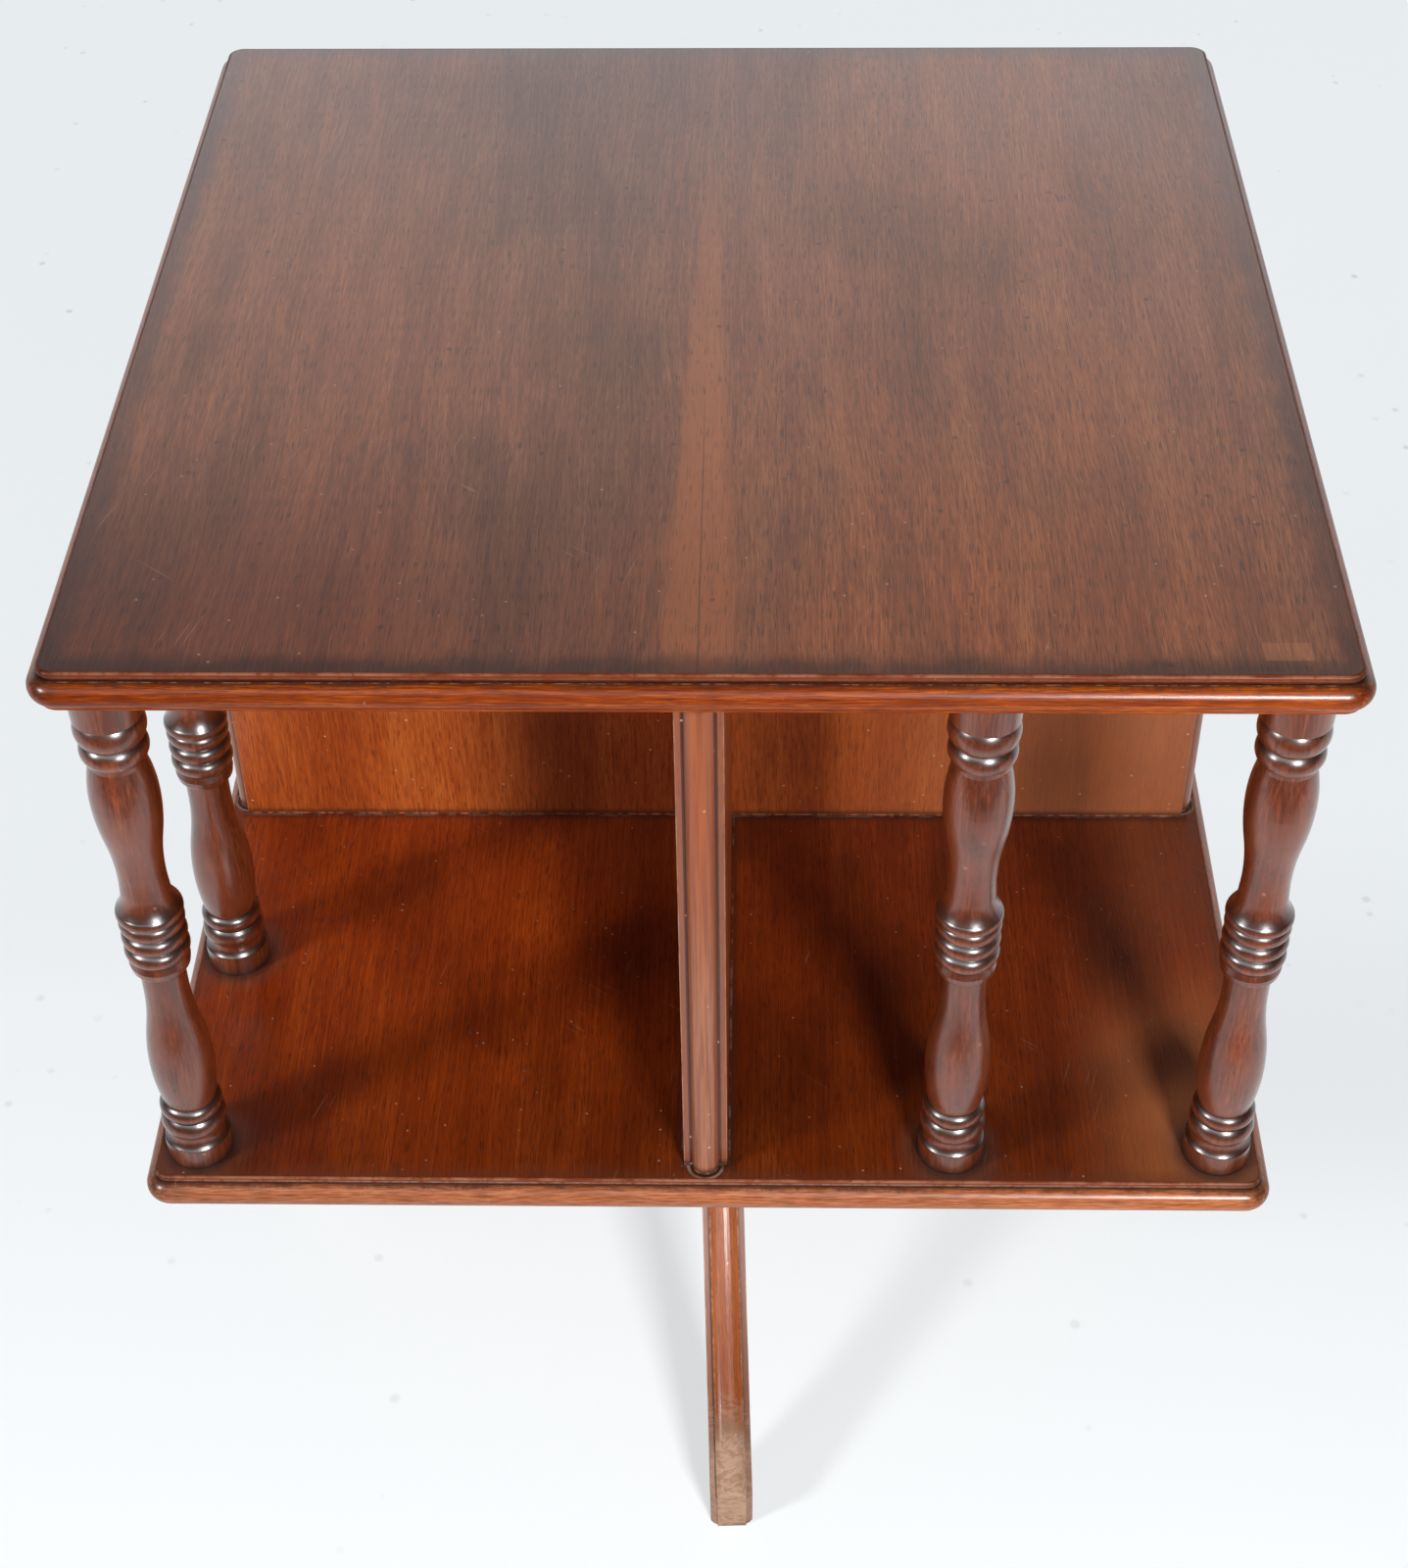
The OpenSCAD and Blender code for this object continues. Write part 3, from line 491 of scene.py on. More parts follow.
def lipping(name, alongX, underside, dusty, seed):
    look = dict(lippingLook, seed=seed)
    material, shader = surface(name)
    x, y, z = axes()
    along = x if alongX else y
    acrossWay = y if alongX else x
    color, pores, fine = woodColor(look, acrossWay, z, along)
    # height over the underside, and distances from the middle of the table
    height = minus(z, underside)
    out, corner = outAndIn(x, y)
    whole = join(x, y, z)
    wear = noise(look, "wear", whole)
    fineWear = noise(look, "fine", whole)
    stretched = join(along, times(z, look["scuffStretch"]), 0.0)
    fields = {
        "x": x, "height": height, "out": out, "corner": corner, "wear": wear, "fine": fineWear,
        "lines": noise(look, "scuff", stretched),
    }
    # the front and back ones are painted darker towards the left and paler towards the right, painted shade
    # and a painted sheen of the right lamp
    if alongX:
        color = marks(color, look, fields, "left", "right")
    # the lower lippings have faded to tan
    faded = times(span(wear, *look["fadedShare"]), ease(dusty, *look["fadedFrom"]))
    fadedWood = tint(ease(fine, *look["fadedGrain"]), look["fadedDark"], look["faded"])
    color = tint(faded, color, fadedWood)
    # darker step between the field and the nosing
    step = where(look, "step", fields)
    color = lay(color, look, "step", step)
    # the quirk is painted dark, painted shade in the recess together with dirt, with an irregular brown
    # stain on the nosing under it
    quirk = where(look, "quirk", fields)
    grimy = calc("MULTIPLY_ADD", fineWear, look["grime"], look["grimeLeast"] - look["grimeLess"] * dusty)
    color = lay(color, look, "quirk", times(quirk, grimy))
    stainDepth = span(fineWear, *look["stainDepth"])
    stained = ease(height, stainDepth, plus(stainDepth, look["stainSoft"]))
    color = mark(color, look, "stain", fields, stained)
    # dust and a painted grey reflection of the pale backdrop on the ledge above the quirk
    ledge = where(look, "ledge", fields, dusty)
    color = mark(color, look, "ledgeDustAndSheen", fields, ledge)
    # broken pale lines on the arris, worn, and at the foot of the step, wear with a painted reflection; dark
    # turns at the corners
    color = marks(color, look, fields, "arris", "foot", "turn", "smudge")
    # pale scratches on the nosing, a rubbed line low on it, and bare wood under it
    scuffs = where(look, "scuffs", fields)
    color = lay(color, look, "scuffs", scuffs)
    color = marks(color, look, fields, "rubbed", "below")
    rough = span(wear, *look["rough"])
    dull = most(quirk, times(ledge, look["ledgeRough"]))
    polish(shader, look, color, calc("MULTIPLY_ADD", dull, look["dirtRough"], rough))
    relief = minus(times(fine, wood["ridge"]), most(times(pores, wood["poreDepth"]), scuffs))
    bump(shader, relief, look["relief"], softEdges(look["softEdge"]))
    # the polish has gone dull on the step
    feed(shader.inputs["Coat Weight"], span(step, look["coat"], look["coat"] * look["stepCoat"]))
    return material


# the veneered shelf
shelfLook = {
    "seed": 21.0, "wander": 0.006,
    "band": (0.025, 0.4, 0.5), "streak": (0.0013, 0.09, 0.6), "fine": (0.0006, 0.014, 0.4),
    "dark": (0.075, 0.0095, 0.001), "middle": (0.145, 0.0195, 0.0018), "light": (0.24, 0.045, 0.006),
    "pores": (0.0004, 0.006, 0.6, 0.55), "pore": (0.045, 0.007, 0.002),
    "dirt": (0.016, 0.006, 0.003), "wax": (0.34, 0.27, 0.23), "border": (0.085, 0.024, 0.011),
    "tan": (0.075, 0.03, 0.018), "faded": (0.34, 0.105, 0.035), "dust": (0.4, 0.28, 0.2),
    "rough": (0.24, 0.44), "dirtRough": 0.35, "relief": 0.00004,
    "coat": 0.35, "coatRough": 0.2, "coatIor": 1.38, "specular": 0.2,
    "noises": {
        "cloud": ((0.07, 0.1, 1), 2, 3.0, 0.6),
        "ragged": ((0.012, 0.012, 1), 4, 4.0, 0.6),
        "patch": ((0.009, 0.009, 1), 6, 3.0, 0.6),
    },
    "ragged": 0.007,
    "fadedCloud": (0.25, 1.15), "fadedFront": (-0.1, -0.19), "fadedShare": (0.25, 1.0),
    "feetRagged": -0.006, "tanShare": 0.42, "grimeShare": (0.4, 1.0),
    "dustSpecks": (0.0034, 0.08, 6.0), "scratchSeed": 40.0,
    "marks": {
        "cloud": {"glaze": (0.68, 0.63, 0.62), "cloud": (0.4, 0.64)},
        "warm": {"glaze": (1.3, 1.2, 0.9), "x": (-0.02, -0.1)},
        "faded": {"paint": "faded", "x": (0.16, 0.22)},
        "front": {"glaze": (0.72, 0.78, 0.8), "y": (-0.1, -0.24)},
        "border": {"paint": "border", "share": 0.5, "inset": (0.009, 0.0)},
        "tan": {"paint": "tan", "feet": (0.01, 0.0)},
        # darker in every corner: dirt with painted shade
        "grime": {"paint": "dirt", "share": 0.9, "gap": (0.0055, 0.0)},
        "wax": {"paint": "wax", "share": 0.2, "walls": (0.0008, 0.0005, 0.0005), "patchy": (0.46, 0.62)},
        # darker round each bead's foot: dirt with painted shade
        "beadDirtAndShade": {"paint": "dirt", "share": 0.85, "bead": (0.0085, 0.006), "beyond": (0.0, 0.0004)},
        "halo": {"paint": "wax", "share": 0.35, "bead": (0.0078, 0.0006, 0.0006), "beyond": (0.0, 0.0006),
                 "patchy": (0.36, 0.52)},
        "dust": {"paint": "dust", "share": 0.5},
        "scratch": {"paint": "dust", "share": 0.12},
    },
}


def fromSpindles(flat):
    # how far a point on the shelf lies from the nearest spindle's foot
    far = table["spindleAxis"]
    off = table["middleOffset"]
    corners = [(-far, -far), (far, -far), (far, far), (-far, far)]
    middles = [(off, -far), (far, off), (-off, far), (-far, -off)]
    clear = []
    for spot in corners + middles:
        away = place("VectorMath", flat, (*spot, 0), operation="DISTANCE")
        clear.append(minus(away.outputs["Value"], table["footRadius"]))
    return least(*clear)


def shelfVeneer():
    look = shelfLook
    material, shader = surface("shelf_polish")
    x, y, z = axes()
    color, pores, fine = woodColor(look, x, z, y)
    flat = join(x, y, 0.0)
    cloud = noise(look, "cloud", flat)
    patchy = noise(look, "patch", flat)
    ragged = span(noise(look, "ragged", flat), -look["ragged"], look["ragged"])
    # how far each point lies from the dividers, from their beads and from the spindles' feet
    out, inward = outAndIn(x, y)
    fromCross = minus(absolute(y), table["dividerHalf"])
    fromHalves = minus(absolute(x), table["dividerHalf"])
    beyond = minus(out, table["shoulder"])
    fromWalls = most(least(fromCross, fromHalves), beyond)
    fromFeet = fromSpindles(flat)
    squares = plus(times(inward, inward), times(beyond, beyond))
    fields = {
        "x": x, "y": y, "cloud": cloud, "patchy": patchy,
        "inset": plus(minus(table["fieldHalf"], out), ragged),
        "walls": fromWalls, "beyond": beyond, "bead": calc("SQRT", squares),
        "feet": calc("MULTIPLY_ADD", patchy, look["feetRagged"], fromFeet),
        "gap": least(fromWalls, fromFeet),
    }
    # warmer on the left, browner towards the right, darker along the front
    color = marks(color, look, fields, "cloud", "warm")
    fadedMore = span(ease(y, *look["fadedFront"]), *look["fadedShare"])
    color = mark(color, look, "faded", fields, span(cloud, *look["fadedCloud"]), fadedMore)
    color = marks(color, look, fields, "front", "border")
    # dusty tan round the feet, dirt with painted shade darkening every corner, and a thin broken line of old
    # wax
    dusty = where(look, "tan", fields, look["tanShare"])
    color = lay(color, look, "tan", dusty)
    grime = where(look, "grime", fields, span(patchy, *look["grimeShare"]))
    color = lay(color, look, "grime", grime)
    color = mark(color, look, "wax", fields)
    # dirt with painted shade, and wax, follow the round foot of each divider's bead
    color = marks(color, look, fields, "beadDirtAndShade", "halo")
    color = lay(color, look, "dust", specks(flat, *look["dustSpecks"]))
    color = lay(color, look, "scratch", scratches(flat, look["scratchSeed"]))
    rough = span(cloud, *look["rough"])
    rough = calc("MULTIPLY_ADD", most(grime, dusty), look["dirtRough"], rough)
    polish(shader, look, color, rough)
    bump(shader, openGrain(pores, fine), look["relief"])
    return material


# the dividers, with upright grain
dividerLook = {
    "wander": 0.007,
    "band": (0.02, 0.4, 0.5), "streak": (0.0014, 0.03, 0.55), "fine": (0.0006, 0.012, 0.4),
    "dark": (0.125, 0.016, 0.0015), "middle": (0.235, 0.044, 0.006), "light": (0.34, 0.088, 0.018),
    "pores": (0.0004, 0.006, 0.6, 0.5), "pore": (0.07, 0.011, 0.003),
    "beadHigh": (0.21, 0.052, 0.014), "beadLow": (0.22, 0.086, 0.046), "beadEdge": (0.11, 0.026, 0.011),
    "faded": (0.24, 0.085, 0.035), "quirk": (0.02, 0.007, 0.004), "shoulder": (0.14, 0.055, 0.033),
    "line": (0.4, 0.21, 0.13), "dust": (0.5, 0.34, 0.24), "dirt": (0.016, 0.006, 0.003),
    "rough": (0.26, 0.46), "relief": 0.00005, "softEdge": 0.0005,
    "coat": 0.4, "coatRough": 0.2, "coatIor": 1.4, "specular": 0.2,
    "noises": {
        "cloud": ((0.06, 0.06, 0.1), 1, 3.0, 0.6),
        "fine": ((0.004, 0.004, 0.012), 3, 3.0, 0.6),
        "line": ((0.0011, 0.0011, 0.05), 7, 3.0, 0.6),
    },
    # the beaded ends start this far inside the shoulders
    "endInside": (0.0006, 0.0001), "endShare": (0.45, 0.95),
    "beadFade": (0.2, 0.09), "beadShare": (0.62, 1.02), "fleckSpecks": (0.0042, 0.12),
    "marks": {
        "cloud": {"glaze": (0.84, 0.8, 0.78), "cloud": (0.42, 0.7)},
        "faded": {"paint": "faded", "share": 0.6, "x": (0.03, 0.18), "y": (0.0, -0.005)},
        # deep is a painted shadow of the front divider, on the faces in the left bay beside it
        "deep": {"glaze": (0.74, 0.58, 0.5), "x": [(-0.1, -0.035), (0.0, -0.006)], "y": (0.0, -0.005)},
        "end": {"paint": "shoulder"},
        "edgeLine": {"paint": "line", "share": 0.35, "inward": (0.0091, 0.0096), "fine": (0.35, 0.6)},
        "bead": {"inward": (0.0064, 0.0059)},
        "beadSides": {"paint": "beadEdge", "share": 0.8, "inward": (0.0042, 0.006)},
        "beadLines": {"paint": "beadEdge", "share": 0.6, "lines": (0.42, 0.62)},
        "groove": {"paint": "quirk", "share": 0.78, "inward": (0.0066, 0.0007, 0.0005)},
        "foot": {"paint": "dust", "share": 0.14, "rise": (0.0016, 0.0004), "fine": (0.4, 0.62)},
        # the dark foot is painted shade with dirt
        "footDark": {"paint": "dirt", "share": 0.7, "rise": (0.005, 0.0012)},
        "shade": {"paint": "dirt", "share": 0.6, "drop": (0.007, 0.0)},
        "flecks": {"paint": "dust", "share": 0.5},
    },
}


def divider(name, seed):
    look = dict(dividerLook, seed=seed)
    material, shader = surface(name)
    x, y, z = axes()
    color, pores, fine = woodColor(look, x, y, z)
    whole = join(x, y, z)
    cloud = noise(look, "cloud", whole)
    fineWear = noise(look, "fine", whole)
    out, inward = outAndIn(x, y)
    fields = {
        "x": x, "y": y, "cloud": cloud, "fine": fineWear, "inward": inward,
        "lines": noise(look, "line", whole),
        "rise": minus(z, table["shelfFace"]), "drop": minus(table["topUnder"], z),
    }
    # the faces on the right have faded, and in the left bay beside the front divider the wood is darkened as
    # a painted shadow of that divider
    color = marks(color, look, fields, "cloud", "faded", "deep")
    # greyer shoulders with a pale worn line on their outer edges
    atEnd = ease(out, *[table["shoulder"] - inside for inside in look["endInside"]])
    color = lay(color, look, "end", times(atEnd, span(cloud, *look["endShare"])))
    color = mark(color, look, "edgeLine", fields, atEnd)
    # the bead is warm high up, paler and duller low down, and darker at its sides
    onBead = where(look, "bead", fields, atEnd)
    beadColor = tint(ease(fields["rise"], *look["beadFade"]), look["beadHigh"], look["beadLow"])
    beadColor = marks(beadColor, look, fields, "beadSides", "beadLines")
    color = tint(times(onBead, span(fineWear, *look["beadShare"])), color, beadColor)
    color = mark(color, look, "groove", fields, atEnd)
    # a dark foot, painted shade with dirt where it meets the shelf, a pale line of dust at it, and painted
    # shade under the top
    foot = where(look, "foot", fields)
    color = mark(color, look, "footDark", fields, minus(1.0, foot))
    color = lay(color, look, "foot", foot)
    color = mark(color, look, "shade", fields)
    color = lay(color, look, "flecks", specks(whole, *look["fleckSpecks"], seed))
    polish(shader, look, color, span(cloud, *look["rough"]))
    bump(shader, openGrain(pores, fine), look["relief"], softEdges(look["softEdge"]))
    return material


# the turned spindles
spindleLook = {
    "wander": 0.004,
    "band": (0.01, 0.12, 0.5), "streak": (0.0012, 0.025, 0.85), "fine": (0.0005, 0.01, 0.45),
    "dark": (0.03, 0.006, 0.002), "middle": (0.08, 0.0145, 0.0035), "light": (0.165, 0.036, 0.01),
    "pores": (0.0004, 0.004, 0.62, 0.4), "pore": (0.04, 0.01, 0.004),
    "dirt": (0.006, 0.003, 0.002), "worn": (0.3, 0.13, 0.07), "belly": (0.125, 0.025, 0.007),
    "rough": (0.15, 0.45), "dirtRough": 0.3, "relief": 0.00004,
    "coat": 1.0, "coatRough": 0.28, "coatIor": 1.66, "specular": 0.1,
    "noises": {"wear": ((0.015, 0.015, 0.025), 1, 4.0, 0.6), "ring": ((1, 1, 0.0008), 5, 2.0)},
    # heights of the two vases over the shelf, and how far each one's belly reaches
    "vases": (0.058, 0.19), "vaseReach": (0.03, 0.025),
    "hollow": (0.012, 0.85, 0.5), "rubSpecks": (0.006, 0.06),
    "ringDepth": 0.3, "ridge": 0.2, "poreDepth": 0.5,
    "marks": {
        "belly": {"paint": "belly", "share": 0.5, "wear": (0.35, 0.65)},
        # the hollows, what faces up and the foot are painted dark: painted shade, with dirt in the hollows
        # and at the foot
        "shelter": {"paint": "dirt", "share": 0.95},
        "upward": {"paint": "dirt", "share": 0.8, "up": (0.12, 0.6)},
        "foot": {"paint": "dirt", "share": 0.8, "rise": (0.0022, 0.0006)},
        "rubs": {"paint": "worn", "share": 0.4},
    },
}


def spindle(name, seed):
    look = dict(spindleLook, seed=seed)
    material, shader = surface(name)
    x, y, z = axes()
    color, pores, fine = woodColor(look, x, y, z)
    whole = join(x, y, z)
    wear = noise(look, "wear", whole)
    rise = minus(z, table["shelfFace"])
    fields = {"wear": wear, "rise": rise, "up": normalOf()[2]}
    # warmer wood shows through on the two vases
    bellies = most(*[band(rise, height, *look["vaseReach"]) for height in look["vases"]])
    color = mark(color, look, "belly", fields, bellies)
    # the grooves are darkened by ambient occlusion, painted shade together with old polish and dirt, what
    # faces up is painted dark as shade, and the foot is painted shade with dirt where it meets the shelf
    shelter = sheltered(*look["hollow"])
    color = lay(color, look, "shelter", shelter)
    color = marks(color, look, fields, "upward", "foot")
    color = lay(color, look, "rubs", specks(whole, *look["rubSpecks"], seed))
    rough = span(wear, *look["rough"])
    polish(shader, look, color, calc("MULTIPLY_ADD", shelter, look["dirtRough"], rough))
    # faint lines that the turner's tools left round the spindle
    rings = noise(look, "ring", join(0.0, 0.0, z))
    relief = plus(times(rings, look["ringDepth"]), times(fine, look["ridge"]))
    bump(shader, minus(relief, times(pores, look["poreDepth"])), look["relief"])
    return material


# the sabre legs and the pillar
legLook = {
    "wander": 0.006,
    "band": (0.012, 0.12, 0.5), "streak": (0.0013, 0.03, 0.55), "fine": (0.0005, 0.012, 0.4),
    "dark": (0.16, 0.036, 0.009), "middle": (0.27, 0.075, 0.022), "light": (0.37, 0.13, 0.046),
    "pores": (0.0004, 0.005, 0.62, 0.5), "pore": (0.1, 0.03, 0.015),
    "bare": (0.33, 0.215, 0.15), "bareDark": (0.23, 0.135, 0.088),
    "line": (0.56, 0.33, 0.22), "shoulder": (0.18, 0.085, 0.06), "seam": (0.07, 0.03, 0.022),
    "dirt": (0.05, 0.022, 0.014),
    "rough": (0.28, 0.53), "bareRough": 0.25, "relief": 0.00007, "softEdge": 0.0007, "curlDepth": 0.9,
    "coat": 1.0, "coatRough": 0.12, "coatIor": 1.42, "specular": 0.08,
    "grainTilt": 6,
    "noises": {
        "wear": ((0.016, 0.016, 0.016), 1, 4.0, 0.6),
        "fine": ((0.003, 0.003, 0.003), 3, 3.0, 0.6),
        "curl": ((0.0036, 0.0036, 0.0036), 5, 3.0, 0.6, 1.1),
    },
    "curlStretch": (0.6, 1.6),
    # the reed's half width, where the wood is bare by distance out, and how far that edge wanders
    "reedHalf": 0.0078, "bareFrom": 0.205, "bareWander": 0.01, "bareShare": 0.88,
    "topEdge": (0.96, 0.7), "topShare": (0.25, 0.72),
    "curlEdge": (0.58, 0.38), "toeEdge": (0.219, 0.205), "toeGlaze": (0.5, 0.47, 0.46),
    "rubSpecks": (0.0045, 0.08), "coatFrom": (0.18, 0.12), "coatShare": (0.35, 1.0), "bareCoat": 0.05,
    "marks": {
        "shoulder": {"paint": "shoulder", "reed": (-0.0002, 0.0003)},
        "bareShoulder": {"paint": "shoulder", "share": 0.4},
        "seam": {"paint": "seam", "share": 0.5, "reed": (0.0004, 0.0006, 0.0005)},
        "line": {"paint": "line", "share": 0.45, "reed": (-0.0005, 0.0003, 0.0005), "fine": (0.4, 0.66)},
        "corner": {"paint": "line", "share": 0.4, "sideways": (0.0101, 0.0108), "wear": (0.42, 0.62)},
        "low": {"glaze": (0.7, 0.6, 0.48), "out": (0.135, 0.2)},
        "fading": {"paint": "bareDark", "share": 0.55, "bareness": (-0.016, 0.0), "curl": (0.6, 0.4)},
        "bare": {"bareness": (-0.004, 0.01)},
        "rubs": {"paint": "line", "share": 0.45},
        "grime": {"paint": "dirt", "share": 0.6, "z": (0.004, 0.0004), "wear": (0.35, 0.6)},
    },
}


def leg(name, quarter, seed):
    look = dict(legLook, seed=seed)
    material, shader = surface(name)
    x, y, z = axes()
    # outward and sideways in this leg's own frame
    turn = table["legTurn"] + 90 * quarter
    out, side = turned(x, y, turn)
    grainAlong, grainAcross = turned(out, z, look["grainTilt"] - table["kneeSlope"])
    color, pores, fine = woodColor(look, grainAcross, side, grainAlong)
    whole = join(out, side, z)
    wear = noise(look, "wear", whole)
    sideways = absolute(side)
    farOut = plus(out, span(wear, -look["bareWander"], look["bareWander"]))
    sideStretch, upStretch = look["curlStretch"]
    curlPlace = join(out, times(side, sideStretch), times(z, upStretch))
    curl = noise(look, "curl", curlPlace)
    fields = {
        "z": z, "out": out, "sideways": sideways, "wear": wear, "curl": curl,
        "fine": noise(look, "fine", whole),
        "reed": minus(sideways, look["reedHalf"]),
        "bareness": minus(farOut, look["bareFrom"]),
    }
    # the shoulders beside the reed are brown and dull, most of all on top, with a dark seam at the reed
    normal = normalOf()
    flank = absolute(turned(normal[0], normal[1], turn)[1])
    onTop = ease(flank, *look["topEdge"])
    shoulder = where(look, "shoulder", fields)
    color = lay(color, look, "shoulder", times(shoulder, span(onTop, *look["topShare"])))
    color = marks(color, look, fields, "seam", "line")
    color = mark(color, look, "corner", fields, onTop)
    color = mark(color, look, "low", fields)
    # bare worn wood towards the toe, with darker curling lines
    bareWood = tint(ease(curl, *look["curlEdge"]), look["bare"], look["bareDark"])
    bareWood = lay(bareWood, look, "bareShoulder", shoulder)
    bareWood = tint(ease(out, *look["toeEdge"]), bareWood, look["toeGlaze"], "MULTIPLY")
    color = mark(color, look, "fading", fields)
    bare = where(look, "bare", fields)
    color = tint(times(bare, look["bareShare"]), color, bareWood)
    color = lay(color, look, "rubs", specks(whole, *look["rubSpecks"], seed))
    # darker just above the floor, dirt with painted shade where the toe meets it
    color = mark(color, look, "grime", fields)
    rough = span(wear, *look["rough"])
    polish(shader, look, color, calc("MULTIPLY_ADD", bare, look["bareRough"], rough))
    relief = plus(openGrain(pores, fine), times(curl, bare, look["curlDepth"]))
    bump(shader, relief, look["relief"], softEdges(look["softEdge"]))
    # the polish is full high up, thin from the knee on and gone from the bare wood
    kept = span(ease(out, *look["coatFrom"]), *look["coatShare"])
    kept = times(kept, span(bare, 1.0, look["bareCoat"]))
    feed(shader.inputs["Coat Weight"], times(kept, look["coat"]))
    return material


pillarLook = dict(
    legLook, seed=57.0,
    dark=(0.14, 0.035, 0.012), middle=(0.28, 0.085, 0.035), light=(0.42, 0.16, 0.075),
    rough=(0.28, 0.58), softEdge=0.0006, hollow=(0.01, 0.75, 0.35), ringDepth=0.35,
    noises={"wear": ((0.02, 0.02, 0.03), 1, 4.0, 0.6), "ring": ((1, 1, 0.0009), 2, 2.0)},
    # the hollows are painted shade together with dirt
    marks={"shelter": {"paint": "dirt", "share": 0.85}},
)


def pillarWood():
    look = pillarLook
    material, shader = surface("pillar_polish")
    x, y, z = axes()
    color, pores, fine = woodColor(look, x, y, z)
    wear = noise(look, "wear", join(x, y, z))
    # the hollows are darkened by ambient occlusion, painted shade together with dirt
    color = lay(color, look, "shelter", sheltered(*look["hollow"]))
    polish(shader, look, color, span(wear, *look["rough"]))
    rings = noise(look, "ring", join(0.0, 0.0, z))
    relief = plus(times(rings, look["ringDepth"]), times(fine, wood["ridge"]))
    bump(shader, minus(relief, pores), look["relief"], softEdges(look["softEdge"]))
    return material


# unpolished wood that shows only from below
coreLook = {
    "wander": 0.008,
    "band": (0.04, 0.5, 0.5), "streak": (0.003, 0.08, 0.6), "fine": (0.0008, 0.02, 0.4),
    "dark": (0.2, 0.1, 0.05), "middle": (0.34, 0.18, 0.09), "light": (0.46, 0.27, 0.15),
    "pores": (0.0004, 0.005, 0.64, 0.5), "pore": (0.12, 0.06, 0.03),
    "boardWidth": 0.112, "boardShift": 0.37, "glueLine": (0.09, 0.045, 0.022), "stain": (0.3, 0.15, 0.075),
    "rough": (0.56, 0.76), "relief": 0.00012,
    "coat": 0.0, "coatRough": 0.4, "coatIor": 1.5, "specular": 0.3,
    "noises": {"cloud": ((0.08, 0.1, 1), 1, 4.0, 0.6), "ripple": ((0.014, 0.3, 1), 3, 1.0)},
    "blockGlaze": (0.5, 0.3, 0.18), "rippleDepth": 3.0, "ridge": 0.5, "poreDepth": 0.6,
    "marks": {
        "seam": {"paint": "glueLine", "share": 0.8, "seam": (0.493, 0.498)},
        "cloud": {"paint": "stain", "share": 0.5, "cloud": (0.35, 0.65)},
    },
}


def coreWood(name, seed, stain):
    look = dict(coreLook, seed=seed)
    material, shader = surface(name)
    x, y, z = axes()
    # boards glued edge to edge, each with grain of its own
    boards = calc("DIVIDE", x, look["boardWidth"])
    shifted = calc("MULTIPLY_ADD", calc("FLOOR", boards), look["boardShift"], z)
    color, pores, fine = woodColor(look, x, shifted, y)
    flat = join(x, y, 0.0)
    cloud = noise(look, "cloud", flat)
    fields = {"seam": absolute(minus(calc("FRACT", boards), 0.5)), "cloud": cloud}
    color = marks(color, look, fields, "seam", "cloud")
    color = tint(stain, color, look["blockGlaze"], "MULTIPLY")
    polish(shader, look, color, span(cloud, *look["rough"]))
    # shallow ripples from the plane
    ripple = noise(look, "ripple", flat)
    relief = plus(times(ripple, look["rippleDepth"]), times(fine, look["ridge"]))
    bump(shader, minus(relief, times(pores, look["poreDepth"])), look["relief"])
    return material


# metal on the pivot and under the pillar
metalLook = {
    "noises": {"age": ((0.006, 0.006, 0.006), 0, 5.0, 0.65), "ring": ((0.0004, 1, 0.0004), 1, 2.0)},
    "ageEdge": (0.48, 0.72), "ageRough": 0.3, "ageDepth": 0.6, "relief": 0.00005, "softEdge": 0.0003,
}
metals = {
    "turned_steel": {
        "color": (0.42, 0.41, 0.39), "dark": (0.14, 0.11, 0.09),
        "rough": 0.34, "metallic": 1.0, "seed": 71.0},
    "pivot_brass": {
        "color": (0.62, 0.42, 0.16), "dark": (0.22, 0.12, 0.05),
        "rough": 0.3, "metallic": 1.0, "seed": 74.0},
    "black_iron": {
        "color": (0.075, 0.07, 0.066), "dark": (0.1, 0.045, 0.025),
        "rough": 0.55, "metallic": 0.6, "seed": 77.0},
}


def metal(name):
    look = dict(metalLook, **metals[name])
    material, shader = surface(name)
    x, y, z = axes()
    age = noise(look, "age", join(x, y, z))
    tarnish = ease(age, *look["ageEdge"])
    feed(shader.inputs["Base Color"], tint(tarnish, look["color"], look["dark"]))
    rough = calc("MULTIPLY_ADD", tarnish, look["ageRough"], look["rough"])
    feed(shader.inputs["Roughness"], rough)
    shader.inputs["Metallic"].default_value = look["metallic"]
    # fine rings from the lathe
    radius = calc("SQRT", plus(times(x, x), times(y, y)))
    rings = noise(look, "ring", join(radius, 0.0, z))
    relief = plus(rings, times(age, look["ageDepth"]))
    bump(shader, relief, look["relief"], softEdges(look["softEdge"]))
    return material


# what sets single pieces apart: how dusty a board's lippings are, the first seed, the step to the next
seeds = {
    "lippings": {"top": ("topUnder", 0.25, 11.0), "shelf": ("shelfUnder", 1.0, 15.0)},
    "lippingWays": {"x": (0.0, ("front", "back")), "y": (2.0, ("left", "right"))},
    "spindles": (41.0, 1.3),
    "legs": (51.0, 1.7),
}


